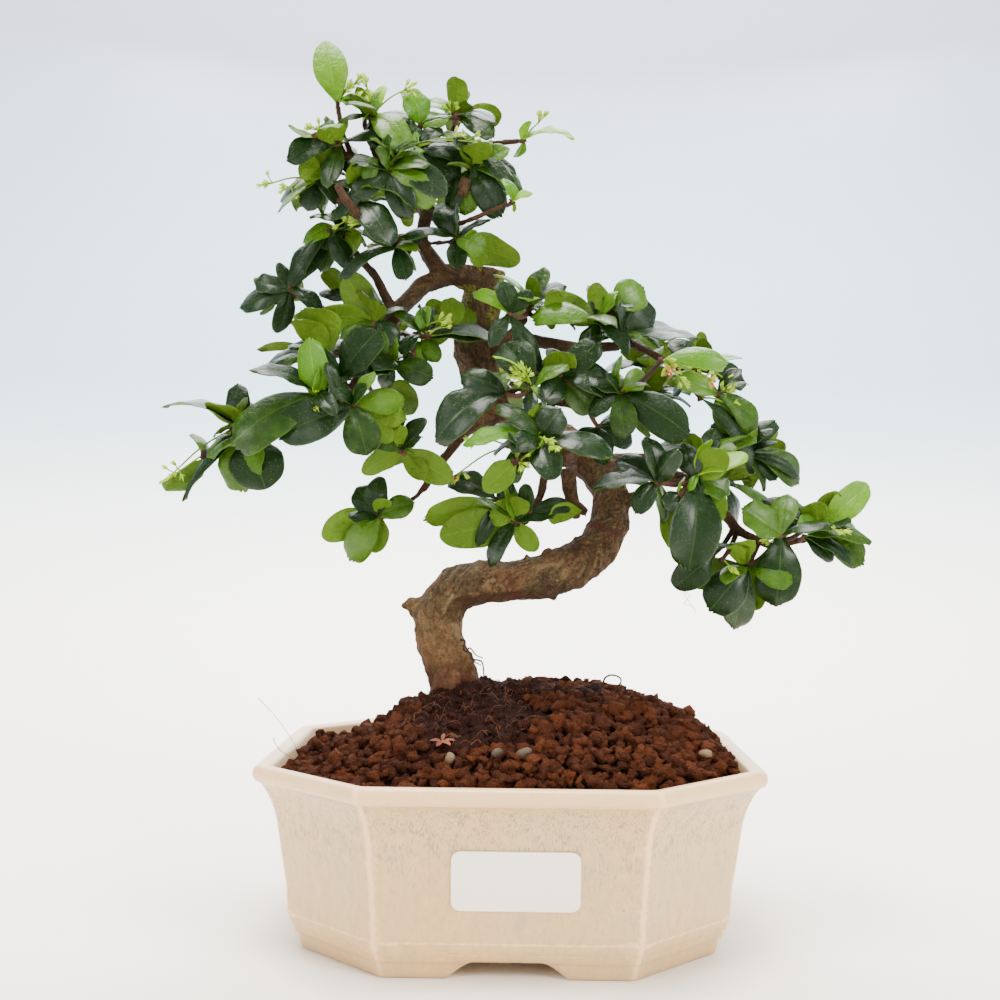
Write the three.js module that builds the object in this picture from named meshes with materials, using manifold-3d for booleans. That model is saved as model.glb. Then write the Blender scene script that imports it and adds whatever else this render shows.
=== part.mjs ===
// A fukien tea bonsai in its octagonal glazed pot, in millimetres, +Z up.
// The photograph's viewer looks along +Y. Places are given from the middle of
// the pot's foot, and the whole group is moved at the end so that the middle
// of its box stands on the origin.
import * as THREE from 'three';
import { mergeVertices } from 'three/addons/utils/BufferGeometryUtils.js';
import Module from 'manifold-3d';

const wasm = await Module();
wasm.setup();

// Driving dimensions of the pot
const POT_HALF = 90;            // middle of the pot to each long side, at the rim
const POT_CORNER = 49;          // half the length of a long side, at the rim
const RIM_TOP = 65;             // height of the rim above the table
const FLOOR_TOP = 16;           // top of the pot's floor
const FOOT_INSET = 17;          // how far the foot stands inside the rim
const FOOT_BAND = 13;           // width of the foot band
const FOOT_HEIGHT = 6;          // hollow under the floor
const ARCH_BOTTOM = 20;         // half width of the gap between two feet, below
const ARCH_TOP = 9.7;           // half width of that gap, above
const DRAIN_RADIUS = 8;
const DRAIN_X = 32;             // drain holes each side of the middle
const GAP = 0.3;                // clearance between pieces that touch

// Outer wall as inset from the rim and height, from the foot up to the lip
const OUTER_WALL = [
  [FOOT_INSET, 0], [15.8, 3.3], [15.5, 6.4], [12.2, 12.8], [11.6, 23], [8.2, 46],
  [5.6, 53], [3.2, 58], [0.6, 60], [0, 61.4], [0, 63.6], [1.4, RIM_TOP],
];
// Inner wall, from the lip down to the floor
const LIP_INSET = 6.6;
const INNER_WALL = [[5.3, RIM_TOP], [LIP_INSET, 63.8], [12, 52], [17.5, FLOOR_TOP]];

// Soil
const SOIL_EDGE = 62.5;         // height of the soil at the wall
const SOIL_RISE = 26;           // mound above that height
const SOIL_SHIFT = 10;          // mound's middle, towards the right
const SOIL_REACH = 84;          // half width of the mound
const SOIL_SHOULDER = 18;       // distance from the wall over which it rises
const SOIL_SINK = 3.6;          // how far it has settled left of the trunk
const SINK_START = [30, 46];    // from here to here, towards the left
const SINK_END = [66, 82];
const SOIL_INSET = 7.7;         // inset of its outer edge from the rim's outside
const SOIL_RINGS = 8;
const SOIL_STEPS = 32;          // points round each ring
const SEAT_GAP = 0.35;          // between the trunk and the soil round it
const GRAIN_RELIEF = 1.8;       // larger than life grain relief
const RELIEF_FADE = 30;         // the relief is finer towards the middle

// Label: a bare sticker on the front wall
const LABEL = { width: 42, height: 20, thick: 0.5, corner: 3, x: 2.6, z: 34 };

// Leaves
const LEAF_THICK = 0.9;
const LEAF_ARCH = 0.09;         // rise of the middle, per length
const LEAF_CUP = 0.16;          // drop of the edge, per half width
const CORE_RADIUS = 1.9;        // short shoot that a rosette grows from
const SHOOT_CORE = 1.1;
const TIP_CORE = 1.5;           // the same at the end of a twig
const STALK_RADIUS = 0.55;
const BUD_LENGTH = 4.6;         // larger than life, as is the radius
const BUD_RADIUS = 1.2;
const BUD_TIP = 0.25;
const BUD_SHIFT = 0.5;          // how much further each try moves a stalk's end
const SIDE_HINT = new THREE.Vector3(0.3, 1, 0.2);
const LEAF_FULLNESS = 0.54;     // least width of a grown leaf, per length
const YOUNG_FULLNESS = 0.42;
const TURNS = 26;               // places tried for a leaf before it is left out
const FIRST_TURN = 0.1;         // how far the first try turns it
const MORE_TURN = 0.04;         // and how much further each next one
const FULL_TRIES = 12;          // tries before the leaf is made shorter
const SHORTER = 0.85;
const GUARD = { thick: 2, grow: 1.05, from: 0.2 };
const BOX_MARGIN = 0.05;
const GOLDEN_TURN = 137.5;
const ROOT_DEPTH = 1;           // how far past the core's middle a leaf starts

const COLOURS = {
  glaze: { color: 0xd9d2c4, roughness: 0.35 },
  soil: { color: 0x6b3a24, roughness: 1 },
  bark: { color: 0x7d6a50, roughness: 0.95 },
  leaf: { color: 0x2f5a2c, roughness: 0.45 },
  young: { color: 0x8cc43c, roughness: 0.5 },
  paper: { color: 0xf4f4f2, roughness: 0.6 },
  mesh: { color: 0x2c2c2c, roughness: 0.7 },
  petal: { color: 0xb98770, roughness: 0.8 },
};

// Directions that a leaf's upper side may face
const UP = [0, -0.3, 1];
const FRONT = [0, -1, 0.35];
const BACK = [0, 0.9, 0.4];

// Wood: each limb is a route of [x, y, z, radius]
const LIMBS = {
  trunk: [
    [-21, 6, 59, 10.2], [-21, 6, 72, 10.6], [-21, 6, 85, 10.8], [-24, 5, 96, 9.6],
    [-29, 4, 108, 9.7], [-28, 2, 119, 9.8], [-21, -1, 126, 9.3], [-10, -4, 128, 8.6],
    [3, -6, 129, 8.3], [17, -6, 132, 9], [28, -4, 137, 8.7], [35, -1, 145, 8.1],
    [38, 2, 154, 7.8], [38, 6, 164, 7.3], [33, 10, 173, 7.4], [22, 14, 182, 7.8],
    [7, 17, 189, 8.2], [-6, 18, 198, 8.6], [-14, 18, 209, 8.7], [-16, 17, 221, 8.7],
    [-15, 16, 233, 8.4], [-12, 15, 244, 8], [-10, 14, 253, 6.8],
  ],
  left_bough: [
    [-13, 14, 248, 6.5], [-21, 10, 250, 5.2], [-28, 6, 249, 4.4], [-38, 0, 242, 4],
    [-47, -5, 229, 3.6], [-55, -10, 213, 3], [-61, -17, 199, 2.6],
  ],
  left_arm: [
    [-59, -15, 202, 2.5], [-66, -20, 197, 2.3], [-73, -23, 195, 2.1], [-81, -22, 193, 1.8],
    [-96, -20, 187, 1.4],
  ],
  crown_bough: [
    [-29, 7, 249, 4.2], [-33, 2, 254, 4], [-37, -3, 262, 3.4], [-35, -3, 273, 3],
    [-31, -1, 283, 2.9], [-28, 1, 296, 2.5], [-25, 4, 306, 1.6],
  ],
  striped_branch: [
    [-37, -4, 260, 2.2], [-43, -10, 259, 1.7], [-50, -15, 261, 1.6], [-57, -18, 266, 1.5],
    [-67, -20, 272, 1.5],
  ],
  crown_left: [
    [-33, -2, 276, 2.3], [-44, -10, 280, 1.9], [-55, -14, 284, 1.7], [-64, -14, 290, 1.4],
  ],
  high_twig: [[-48, -12, 281, 1.6], [-55, -9, 294, 1.4], [-59, -6, 306, 1.2], [-59, -6, 317, 0.9]],
  tall_twig: [[-62, -14, 289, 1.4], [-67, -11, 301, 1], [-69, -8, 311, 1.2]],
  fork_twig: [[-46, -5, 230, 2.6], [-50, -4, 241, 2.2], [-60, -2, 252, 1.9], [-65, -1, 259, 1.6]],
  right_tip_twig: [[-27, 3, 302, 1.8], [-14, 3, 300, 1.3], [1, 2, 301, 1.2]],
  olive_twig: [[-34, -4, 271, 1.8], [-25, -14, 262, 1.2], [-13, -21, 266, 1], [-3, -22, 270, 0.9]],
  thin_bough: [
    [-9, 15, 196, 6], [-14, 10, 192, 4.2], [-19, 5, 187, 2.8], [-24, 2, 180, 2],
    [-32, -2, 168, 1.7], [-35, -3, 163, 1.5],
  ],
  low_left_twig: [[-30, -1, 172, 1.2], [-36, -3, 162, 1.1], [-47, -7, 154, 1.1]],
  upper_right: [
    [-12, 16, 221, 4.2], [-3, 8, 224, 3.6], [6, 0, 222, 3], [16, -6, 220, 2.7],
    [35, -9, 217, 2.4], [43, -9, 222, 2.4], [49, -9, 230, 2.3],
  ],
  knob_twig: [[-3, 8, 224, 2.6], [4, -4, 230, 1.8]],
  mid_right: [
    [2, 17, 191, 4.4], [10, 6, 195, 3.6], [15, -6, 199, 2.8], [23, -12, 194, 2.2],
    [39, -24, 198, 1.5],
  ],
  front_twig: [[11, 4, 195, 2.6], [12, -14, 190, 2.4], [10, -38, 181, 1.9]],
  stub_twig: [[15, -6, 199, 2], [13, -18, 201, 1.6], [7, -32, 206, 1.4]],
  right_bough: [
    [34, 9, 172, 5.2], [41, 0, 173, 4.2], [49, -8, 172, 3.6], [66, -18, 167, 2.8],
    [73, -18, 162, 2.5], [88, -13, 146, 2.1], [97, -13, 143, 1.8], [111, -10, 146, 1.5],
  ],
  right_rise: [[66, -18, 167, 2], [73, -16, 171, 1.7], [87, -9, 176, 1.3]],
  drop_twig: [
    [18, 12, 183, 3], [14, 4, 178, 2.2], [11, -4, 163, 1.8], [9, -7, 154, 1.6], [5, -9, 151, 1.4],
  ],
  dead_stub: [[24, 10, 181, 2.8], [23, 0, 173, 2.4], [22, -5, 163, 2.2], [25, -7, 155, 1.2]],
  far_right_up: [[42, -9, 221, 1.8], [51, -9, 217, 1.6], [66, -7, 209, 1.2]],
  back_crown: [[-35, -2, 270, 2.6], [-38, 12, 276, 2], [-46, 24, 282, 1.5]],
  back_left: [[-47, -5, 229, 3], [-58, 6, 222, 2.2], [-72, 16, 218, 1.5]],
  back_right: [[-14, 18, 212, 4.5], [2, 28, 216, 3], [26, 34, 216, 2.2], [48, 32, 206, 1.6]],
  back_low: [[33, 11, 173, 4], [44, 22, 178, 2.8], [60, 30, 178, 2], [78, 26, 172, 1.5]],
};
const TRUNK_SIDES = 10;
const TRUNK_STEP = 12;
const LIMB_SIDES = 5;
const LIMB_STEP = 15;
const TWIG_SIDES = 3;
const TWIG_STEP = 30;
const TWIG_RADIUS = 1.2;
const LINK_SAG = 1.5;           // of the twig that joins a spray's two rosettes
const BARK_LUMPS = 0.03;        // swellings along a limb, per radius
const TRUNK_SEED = 3;

// Short cut stubs left on the trunk: place, direction, radius and length
const STUBS = [
  { at: [-36, 3, 117], along: [-1, -0.2, 0.1], radius: 3.2, length: 7 },
  { at: [14, -8, 138], along: [-0.4, -0.3, 1], radius: 3, length: 7 },
  { at: [45, 2, 162], along: [1, -0.2, 0.3], radius: 1.8, length: 5 },
  { at: [-12, 10, 224], along: [0.2, -1, 0.2], radius: 3, length: 6 },
];

// Rosettes of mature leaves. A leaf is [angle seen from the front, lean
// towards the viewer, length, width, side that it faces], in degrees and mm.
const SPRAYS = [
  { name: 'crown_left_tip', on: 'crown_left', at: [-67, -17, 293],
    leaves: [[20, 10, 19, 8], [168, 15, 21, 9], [197, 20, 22, 10], [215, -10, 20, 11, BACK],
      [262, 20, 19, 9, FRONT]], more: 2 },
  { name: 'crown_high', on: 'high_twig', at: [-55, -12, 305],
    leaves: [[-40, 10, 24, 10], [120, -10, 17, 10, BACK], [183, 15, 14, 8], [12, 5, 16, 8],
      [-80, 20, 16, 9, FRONT]], more: 2 },
  { name: 'crown_mid', on: 'crown_bough', at: [-37, -12, 293],
    leaves: [[158, 20, 24, 11], [62, -10, 22, 13, BACK], [10, 25, 22, 10], [-25, 20, 20, 11, FRONT],
      [110, 10, 17, 9]], more: 2 },
  { name: 'crown_right', on: 'crown_bough', at: [-24, 4, 311],
    leaves: [[3, 10, 20, 11, BACK], [150, 5, 17, 9], [78, -10, 14, 8], [-28, 20, 20, 10],
      [205, 20, 17, 9]], more: 2 },
  { name: 'crown_side', on: 'crown_bough', at: [-17, -12, 285],
    leaves: [[28, 10, 18, 10], [-12, 15, 22, 9], [-50, 25, 23, 13, FRONT], [-80, 20, 18, 10, FRONT],
      [62, 10, 15, 8], [200, 25, 18, 9]], more: 2 },
  { name: 'crown_face', on: 'crown_left', at: [-47, -25, 281],
    leaves: [[-28, 15, 22, 13, FRONT], [-62, 20, 21, 10, FRONT], [165, 20, 17, 9], [92, 10, 15, 9],
      [222, 20, 19, 10, FRONT], [15, 25, 17, 9]], more: 1 },
  { name: 'crown_fork', on: 'striped_branch', at: [-57, -25, 270],
    leaves: [[-32, 20, 24, 11, FRONT], [212, 15, 14, 8], [150, 20, 14, 8], [60, 15, 15, 9]],
    more: 1 },
  { name: 'crown_left', on: 'crown_left', at: [-76, -12, 281],
    leaves: [[222, 5, 21, 9], [256, 10, 14, 9, FRONT], [125, 0, 17, 9], [198, -20, 19, 9],
      [335, 20, 14, 7]], more: 2 },
  { name: 'crown_low', on: 'crown_bough', at: [-45, -15, 255],
    leaves: [[207, 12, 26, 10], [168, 10, 18, 9, FRONT], [-70, 15, 16, 9, FRONT]], more: 1 },
  { name: 'fork_top', on: 'fork_twig', at: [-67, -4, 264],
    leaves: [[240, 8, 19, 9, FRONT], [62, 0, 16, 9], [150, 0, 15, 8], [-58, -10, 20, 12, BACK],
      [195, 20, 17, 8]], more: 2 },
  { name: 'crown_under', on: 'crown_bough', at: [-22, -15, 258],
    leaves: [[172, 20, 23, 10], [-42, 15, 17, 9, FRONT], [-18, -12, 26, 12, BACK],
      [-78, 20, 14, 9, FRONT], [40, 10, 16, 9]], more: 1 },
  { name: 'left_upper', on: 'left_bough', via: [-72, -6, 232], at: [-87, -6, 240],
    leaves: [[62, 8, 25, 12, FRONT], [170, 8, 15, 9, FRONT], [198, 5, 22, 9, FRONT],
      [-35, 18, 18, 9], [222, -12, 16, 7]], more: 1 },
  { name: 'left_front', on: 'left_arm', at: [-72, -30, 197], link: [-58, -31, 193],
    leaves: [[157, 20, 27, 12], [208, 18, 37, 12], [245, 10, 17, 9, FRONT], [60, 20, 16, 9]],
    linked: [[194, 20, 32, 17, FRONT], [285, 12, 20, 16, FRONT], [-14, -12, 21, 16, BACK],
      [-50, -10, 20, 9, BACK], [70, 10, 15, 8]], more: 0 },
  { name: 'left_end', on: 'left_arm', at: [-102, -22, 185],
    leaves: [[282, 15, 24, 20, FRONT], [176, 5, 31, 10], [225, 8, 36, 9], [206, -12, 19, 10, BACK],
      [95, 5, 18, 10]], more: 2 },
  { name: 'left_top', on: 'left_bough', at: [-64, -22, 204], link: [-71, -17, 212],
    leaves: [[52, 15, 25, 17, FRONT], [20, -10, 20, 11]],
    linked: [[108, 30, 23, 20], [180, 5, 24, 8], [150, -10, 18, 10]], more: 2 },
  { name: 'left_bridge', on: 'left_bough', at: [-53, -15, 226], link: [-46, -12, 211],
    leaves: [[208, 18, 16, 8], [-35, 15, 13, 9, FRONT], [172, -8, 22, 12, BACK],
      [125, -12, 23, 14, BACK], [-80, 10, 15, 9, FRONT]],
    linked: [[32, 5, 17, 12, FRONT], [-20, 10, 18, 11, FRONT], [120, -10, 18, 10]], more: 2 },
  { name: 'centre_left', on: 'left_bough', via: [-44, -10, 222], at: [-35, -11, 222],
    leaves: [[-4, 8, 31, 8], [142, 10, 15, 8], [66, -22, 16, 14, BACK], [35, -30, 14, 12, BACK],
      [-60, 15, 13, 8, FRONT]], more: 0 },
  { name: 'low_left', on: 'low_left_twig', at: [-51, -8, 153],
    leaves: [[128, 8, 15, 11, FRONT], [24, 8, 16, 11, FRONT], [198, 6, 24, 8, BACK],
      [231, 10, 21, 13, FRONT], [268, -5, 15, 10, BACK]], more: 0 },
  { name: 'left_low', on: 'thin_bough', at: [-42, -16, 178],
    leaves: [[150, 15, 16, 12, FRONT], [-22, -10, 24, 13, BACK], [-62, -15, 16, 9, BACK],
      [205, -15, 18, 11, BACK]], more: 1 },
  { name: 'centre_front', on: 'front_twig', at: [10, -42, 180],
    leaves: [[222, 12, 29, 15, FRONT], [205, 22, 24, 10], [-12, 20, 28, 12], [132, 15, 21, 9],
      [158, 5, 20, 9], [62, 25, 15, 13, FRONT], [100, 25, 14, 10, FRONT]], more: 1 },
  { name: 'centre_upper', on: 'stub_twig', at: [7, -36, 199], link: [-3, -25, 198],
    leaves: [[118, 12, 27, 12, FRONT], [60, 15, 16, 8]],
    linked: [[208, 12, 32, 14], [150, 12, 19, 10, FRONT], [185, -10, 20, 10]], more: 1 },
  { name: 'upper_knob', on: 'knob_twig', at: [6, -8, 234],
    leaves: [[118, 5, 15, 12, FRONT], [162, 15, 13, 7], [30, 10, 17, 9], [75, -10, 18, 10]],
    more: 2 },
  { name: 'right_crest', on: 'upper_right', at: [40, -17, 222], link: [31, -17, 226],
    leaves: [[60, 10, 18, 18, FRONT], [122, 15, 23, 10, FRONT], [-3, -5, 31, 9], [-22, 18, 17, 9]],
    linked: [[168, 12, 26, 12], [148, -5, 23, 9, BACK], [102, 5, 16, 9], [250, 20, 15, 9, FRONT]],
    more: 2 },
  { name: 'right_face', on: 'mid_right', at: [39, -32, 198], link: [17, -27, 204],
    leaves: [[-28, 15, 31, 16, FRONT], [-88, 20, 18, 10, FRONT], [-60, -5, 20, 10],
      [205, 10, 15, 10], [95, 10, 15, 9]],
    linked: [[46, 12, 21, 11, FRONT], [4, 15, 25, 11], [-32, 15, 19, 12, FRONT]], more: 2 },
  { name: 'under_centre', on: 'drop_twig', at: [1, -12, 151],
    leaves: [[194, 5, 30, 9, BACK], [102, 0, 17, 9], [238, 8, 20, 9], [160, -20, 17, 10, BACK],
      [12, 10, 17, 8], [-20, -12, 17, 9, BACK]], more: 0 },
  { name: 'right_hang', on: 'right_bough', at: [67, -30, 167], link: [52, -32, 166],
    leaves: [[198, 20, 24, 13, FRONT], [268, 12, 35, 17, FRONT], [243, 0, 28, 11, BACK],
      [222, 18, 18, 13, FRONT], [-22, 12, 14, 12, FRONT], [-50, -10, 18, 12, BACK]],
    linked: [[187, 15, 25, 9], [230, 20, 16, 9, FRONT], [100, 10, 18, 10], [150, -10, 18, 11]],
    more: 1 },
  { name: 'right_outer', on: 'right_rise', at: [90, -8, 179],
    leaves: [[148, 22, 21, 13, FRONT], [-50, 15, 16, 9], [-32, 0, 24, 9], [-10, -12, 16, 10, BACK],
      [60, 0, 17, 9]], more: 2 },
  { name: 'cascade', on: 'right_bough', at: [100, -19, 147], link: [88, -14, 135],
    leaves: [[147, 12, 20, 14, FRONT], [264, 12, 27, 20, FRONT], [192, 0, 22, 12, BACK]],
    linked: [[228, 12, 23, 16, FRONT], [258, -2, 25, 14, FRONT], [195, -8, 24, 13, BACK],
      [288, -12, 17, 13, BACK]], more: 2 },
  { name: 'cascade_end', on: 'right_bough', at: [115, -10, 148],
    leaves: [[142, 12, 25, 10], [-2, -5, 21, 13], [-36, 12, 22, 10], [158, -12, 15, 9]],
    more: 1 },
  { name: 'far_right', on: 'far_right_up', at: [70, -7, 210], link: [77, -14, 200],
    leaves: [[48, 0, 16, 8], [-8, 0, 21, 9], [212, 18, 17, 9], [120, -5, 17, 9]],
    linked: [[-38, 8, 22, 9], [158, 18, 19, 10, FRONT], [-80, 10, 17, 10, FRONT]], more: 1 },
  { name: 'back_crown', on: 'back_crown', at: [-46, 29, 285], link: [-24, 22, 290],
    leaves: [[170, -20, 20, 10], [60, -25, 20, 10]], linked: [[20, -30, 20, 10]], more: 8 },
  { name: 'back_left', on: 'back_left', at: [-76, 19, 219], link: [-58, 26, 228],
    leaves: [[175, -5, 23, 10], [215, -25, 20, 10]], linked: [[100, -30, 19, 10]], more: 8 },
  { name: 'back_right', on: 'back_right', at: [53, 31, 204], link: [57, 44, 217],
    leaves: [[20, -10, 22, 10], [-30, -20, 21, 10]], linked: [[120, -30, 20, 10]], more: 8 },
  { name: 'back_low', on: 'back_low', at: [84, 20, 168], link: [91, 31, 180],
    leaves: [[-20, -10, 24, 11], [-70, -10, 22, 12]], linked: [[100, -40, 20, 10]], more: 8 },
];

// New growth: young leaves as above, and flower stalks that end in buds
const SHOOTS = [
  { name: 'top', at: [-69, -8, 312.9], leaves: [[104, 6, 26, 14.5, FRONT], [55, 10, 12, 5]],
    buds: [[-58, -10, 323]] },
  { name: 'crown_left', by: 'crown_left_tip', leaves: [[122, 10, 8, 4]], buds: [[-79, -24, 299]] },
  { name: 'crown_mid', by: 'crown_mid', leaves: [[193, 18, 13, 6]], buds: [[-12, -25, 292]] },
  { name: 'crown_high', by: 'crown_high', leaves: [[68, -8, 13, 7]],
    buds: [[-59, -14, 322], [-37, -16, 318]] },
  { name: 'right_tip', at: [2.9, 2, 301.2], leaves: [[8, 5, 21, 6], [75, 20, 9, 5]],
    buds: [[13, -4, 311]] },
  { name: 'olive_tip', at: [-1.1, -22, 270.8], leaves: [[100, 10, 10, 6], [28, 10, 9, 5]], buds: [] },
  { name: 'left_buds', by: 'crown_left', leaves: [],
    buds: [[-99, -16, 277], [-90, -20, 273]] },
  { name: 'fork_buds', by: 'crown_low', leaves: [], buds: [[-70, -14, 267]] },
  { name: 'left_front', by: 'left_front', leaves: [[90, 32, 21, 20, FRONT]],
    buds: [[-72, -37, 190]] },
  { name: 'left_tip', by: 'left_end', leaves: [], buds: [[-132, -20, 163]] },
  { name: 'centre_left', by: 'centre_left', leaves: [[80, 10, 10, 7]], buds: [[-23, -15, 229]] },
  { name: 'centre', by: 'centre_front', leaves: [[176, 18, 27, 8], [266, 25, 9, 6, FRONT]],
    buds: [[26, -45, 166]] },
  { name: 'centre_upper', by: 'centre_upper', leaves: [[147, 25, 19, 7]], buds: [[-2, -43, 206]] },
  { name: 'upper_knob', by: 'upper_knob', leaves: [[140, 20, 18, 8]], buds: [] },
  { name: 'right_hang', by: 'right_hang', leaves: [[80, 18, 15, 7], [20, 15, 20, 11]], buds: [] },
  { name: 'far_right', by: 'far_right', leaves: [[14, 15, 17, 8]],
    buds: [[61, -17, 207], [84, -18, 202]] },
  { name: 'cascade_end', by: 'cascade_end', leaves: [[42, 0, 27, 13, FRONT]],
    buds: [[128, -17, 149]] },
];

// Seeded random numbers from 0 to 1
function randomFrom(seed) {
  let state = seed >>> 0;
  return () => {
    state = (state + 0x6d2b79f5) >>> 0;
    let t = state;
    t = Math.imul(t ^ (t >>> 15), t | 1);
    t ^= t + Math.imul(t ^ (t >>> 7), t | 61);
    return ((t ^ (t >>> 14)) >>> 0) / 4294967296;
  };
}

const vec = (p) => new THREE.Vector3(p[0], p[1], p[2]);

// Closed mesh to solid, and back
function toSolid(geometry) {
  const bare = new THREE.BufferGeometry();
  bare.setAttribute('position', geometry.getAttribute('position'));
  if (geometry.index) bare.setIndex(geometry.index);
  const merged = mergeVertices(bare, 1e-4);
  return new wasm.Manifold(new wasm.Mesh({
    numProp: 3,
    vertProperties: new Float32Array(merged.getAttribute('position').array),
    triVerts: new Uint32Array(merged.index.array),
  }));
}

function toGeometry(solid) {
  const mesh = solid.getMesh();
  const geometry = new THREE.BufferGeometry();
  geometry.setAttribute('position', new THREE.BufferAttribute(mesh.vertProperties, 3));
  geometry.setIndex(new THREE.BufferAttribute(mesh.triVerts, 1));
  return geometry;
}

function geometryOf(points, faces) {
  const geometry = new THREE.BufferGeometry();
  geometry.setAttribute('position', new THREE.Float32BufferAttribute(points.flat(), 3));
  geometry.setIndex(faces.flat());
  return geometry;
}

// Skin over rings of points that all have the same count; each end is closed
// with a fan, or with one pole point where one is given
function loft(rings, startPole = null, endPole = null) {
  const count = rings[0].length;
  const points = rings.flat();
  const faces = [];
  for (let k = 0; k + 1 < rings.length; k += 1) {
    for (let i = 0; i < count; i += 1) {
      const a = k * count + i;
      const b = k * count + ((i + 1) % count);
      faces.push([a, b, b + count], [a, b + count, a + count]);
    }
  }
  const last = (rings.length - 1) * count;
  if (startPole) points.push(startPole);
  const startIndex = points.length - 1;
  if (endPole) points.push(endPole);
  const endIndex = points.length - 1;
  for (let i = 0; i < count; i += 1) {
    const j = (i + 1) % count;
    if (startPole) faces.push([startIndex, j, i]);
    else if (i > 0 && j > 0) faces.push([0, j, i]);
    if (endPole) faces.push([endIndex, last + i, last + j]);
    else if (i > 0 && j > 0) faces.push([last, last + i, last + j]);
  }
  return geometryOf(points, faces);
}

// Largest body of a solid, without the loose scraps that a cut may leave
function mainBody(solid) {
  const bodies = solid.decompose();
  bodies.sort((a, b) => b.volume() - a.volume());
  return bodies[0];
}

function fuse(solids) {
  return solids.reduce((sum, next) => sum.add(next));
}

// Pot

function octagon(inset, z) {
  const side = POT_HALF - inset;
  const corner = POT_CORNER - inset * Math.tan(Math.PI / 8);
  const quarter = [[corner, -side], [side, -corner], [side, corner], [corner, side]];
  const half = quarter.map(([x, y]) => [x, y, z]);
  return [...half, ...half.map(([x, y]) => [-x, -y, z])];
}

function archCut() {
  const shape = new THREE.Shape();
  shape.moveTo(-ARCH_BOTTOM, -1);
  shape.lineTo(ARCH_BOTTOM, -1);
  shape.lineTo(ARCH_BOTTOM, 0);
  shape.lineTo(ARCH_BOTTOM - 4.4, 3.6);
  shape.quadraticCurveTo(ARCH_TOP + 4, 5.4, ARCH_TOP, FOOT_HEIGHT);
  shape.lineTo(-ARCH_TOP, FOOT_HEIGHT);
  shape.quadraticCurveTo(-ARCH_TOP - 4, 5.4, -ARCH_BOTTOM + 4.4, 3.6);
  shape.lineTo(-ARCH_BOTTOM, 0);
  const long = 2 * POT_HALF + 20;
  const cut = new THREE.ExtrudeGeometry(shape, { depth: long, bevelEnabled: false, curveSegments: 2 });
  cut.translate(0, 0, -long / 2);
  cut.rotateX(Math.PI / 2);
  return cut;
}

function makePot() {
  const wall = [...OUTER_WALL, ...INNER_WALL].map(([inset, z]) => octagon(inset, z));
  let pot = toSolid(loft(wall));
  const hollowInset = FOOT_INSET + FOOT_BAND;
  const hollow = loft([octagon(hollowInset, -1), octagon(hollowInset + 2, FOOT_HEIGHT)]);
  pot = pot.subtract(toSolid(hollow));
  for (const turn of [0, Math.PI / 2]) {
    pot = pot.subtract(toSolid(archCut().rotateZ(turn)));
  }
  for (const x of [-DRAIN_X, DRAIN_X]) {
    const hole = new THREE.CylinderGeometry(DRAIN_RADIUS, DRAIN_RADIUS, 40, 14);
    hole.rotateX(Math.PI / 2);
    hole.translate(x, 0, FLOOR_TOP - 8);
    pot = pot.subtract(toSolid(hole));
  }
  return pot;
}

const SCREEN = { side: 22, thick: 0.8, slot: 4, pitch: 6.4, border: 3 };

function screenPlate(x, grow = 0) {
  const plate = new THREE.BoxGeometry(
    SCREEN.side + 2 * grow, SCREEN.side + 2 * grow, SCREEN.thick + 2 * grow);
  plate.translate(x, 0, FLOOR_TOP + GAP + SCREEN.thick / 2);
  return plate;
}

function makeScreen(x) {
  let screen = toSolid(screenPlate(x));
  for (const y of [-1, 0, 1]) {
    const cut = new THREE.BoxGeometry(SCREEN.side - 2 * SCREEN.border, SCREEN.slot, 4);
    cut.translate(x, y * SCREEN.pitch, FLOOR_TOP + 1);
    screen = screen.subtract(toSolid(cut));
  }
  return screen;
}

// Soil

// Distance from a point to the pot's inner wall at the rim
function wallDistance(x, y) {
  const flat = POT_HALF - LIP_INSET;
  const diagonal = (POT_HALF + POT_CORNER) / Math.SQRT2 - LIP_INSET;
  const toCorner = diagonal - (Math.abs(x) + Math.abs(y)) / Math.SQRT2;
  return Math.min(flat - Math.abs(x), flat - Math.abs(y), toCorner);
}

function soilHeight(x, y) {
  const reach = Math.hypot((x - SOIL_SHIFT) / SOIL_REACH, y / SOIL_REACH);
  const mound = Math.max(0, 1 - reach * reach) ** 0.75;
  const shoulder = Math.min(1, Math.max(0, wallDistance(x, y)) / SOIL_SHOULDER);
  const { smoothstep } = THREE.MathUtils;
  const sunk = smoothstep(-x, ...SINK_START) * (1 - smoothstep(-x, ...SINK_END));
  return SOIL_EDGE + (SOIL_RISE * mound - SOIL_SINK * sunk) * shoulder * (2 - shoulder);
}

// Point on an octagon at a share of the way round
function octagonPoint(inset, share) {
  const ring = octagon(inset, 0);
  const place = share * 8;
  const k = Math.floor(place) % 8;
  const t = place - Math.floor(place);
  const a = ring[k];
  const b = ring[(k + 1) % 8];
  return [a[0] + (b[0] - a[0]) * t, a[1] + (b[1] - a[1]) * t];
}

const FLOWER_AT = [-23, -59];
const FLOWER_BED = 8;
const FLOWER_RADIUS = 4.5;
const FLOWER_HEART = 1.7;
const FLOWER_THICK = 1.2;
const FLOWER_CURL = 0.4;        // lift of the petals' ends

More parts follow.
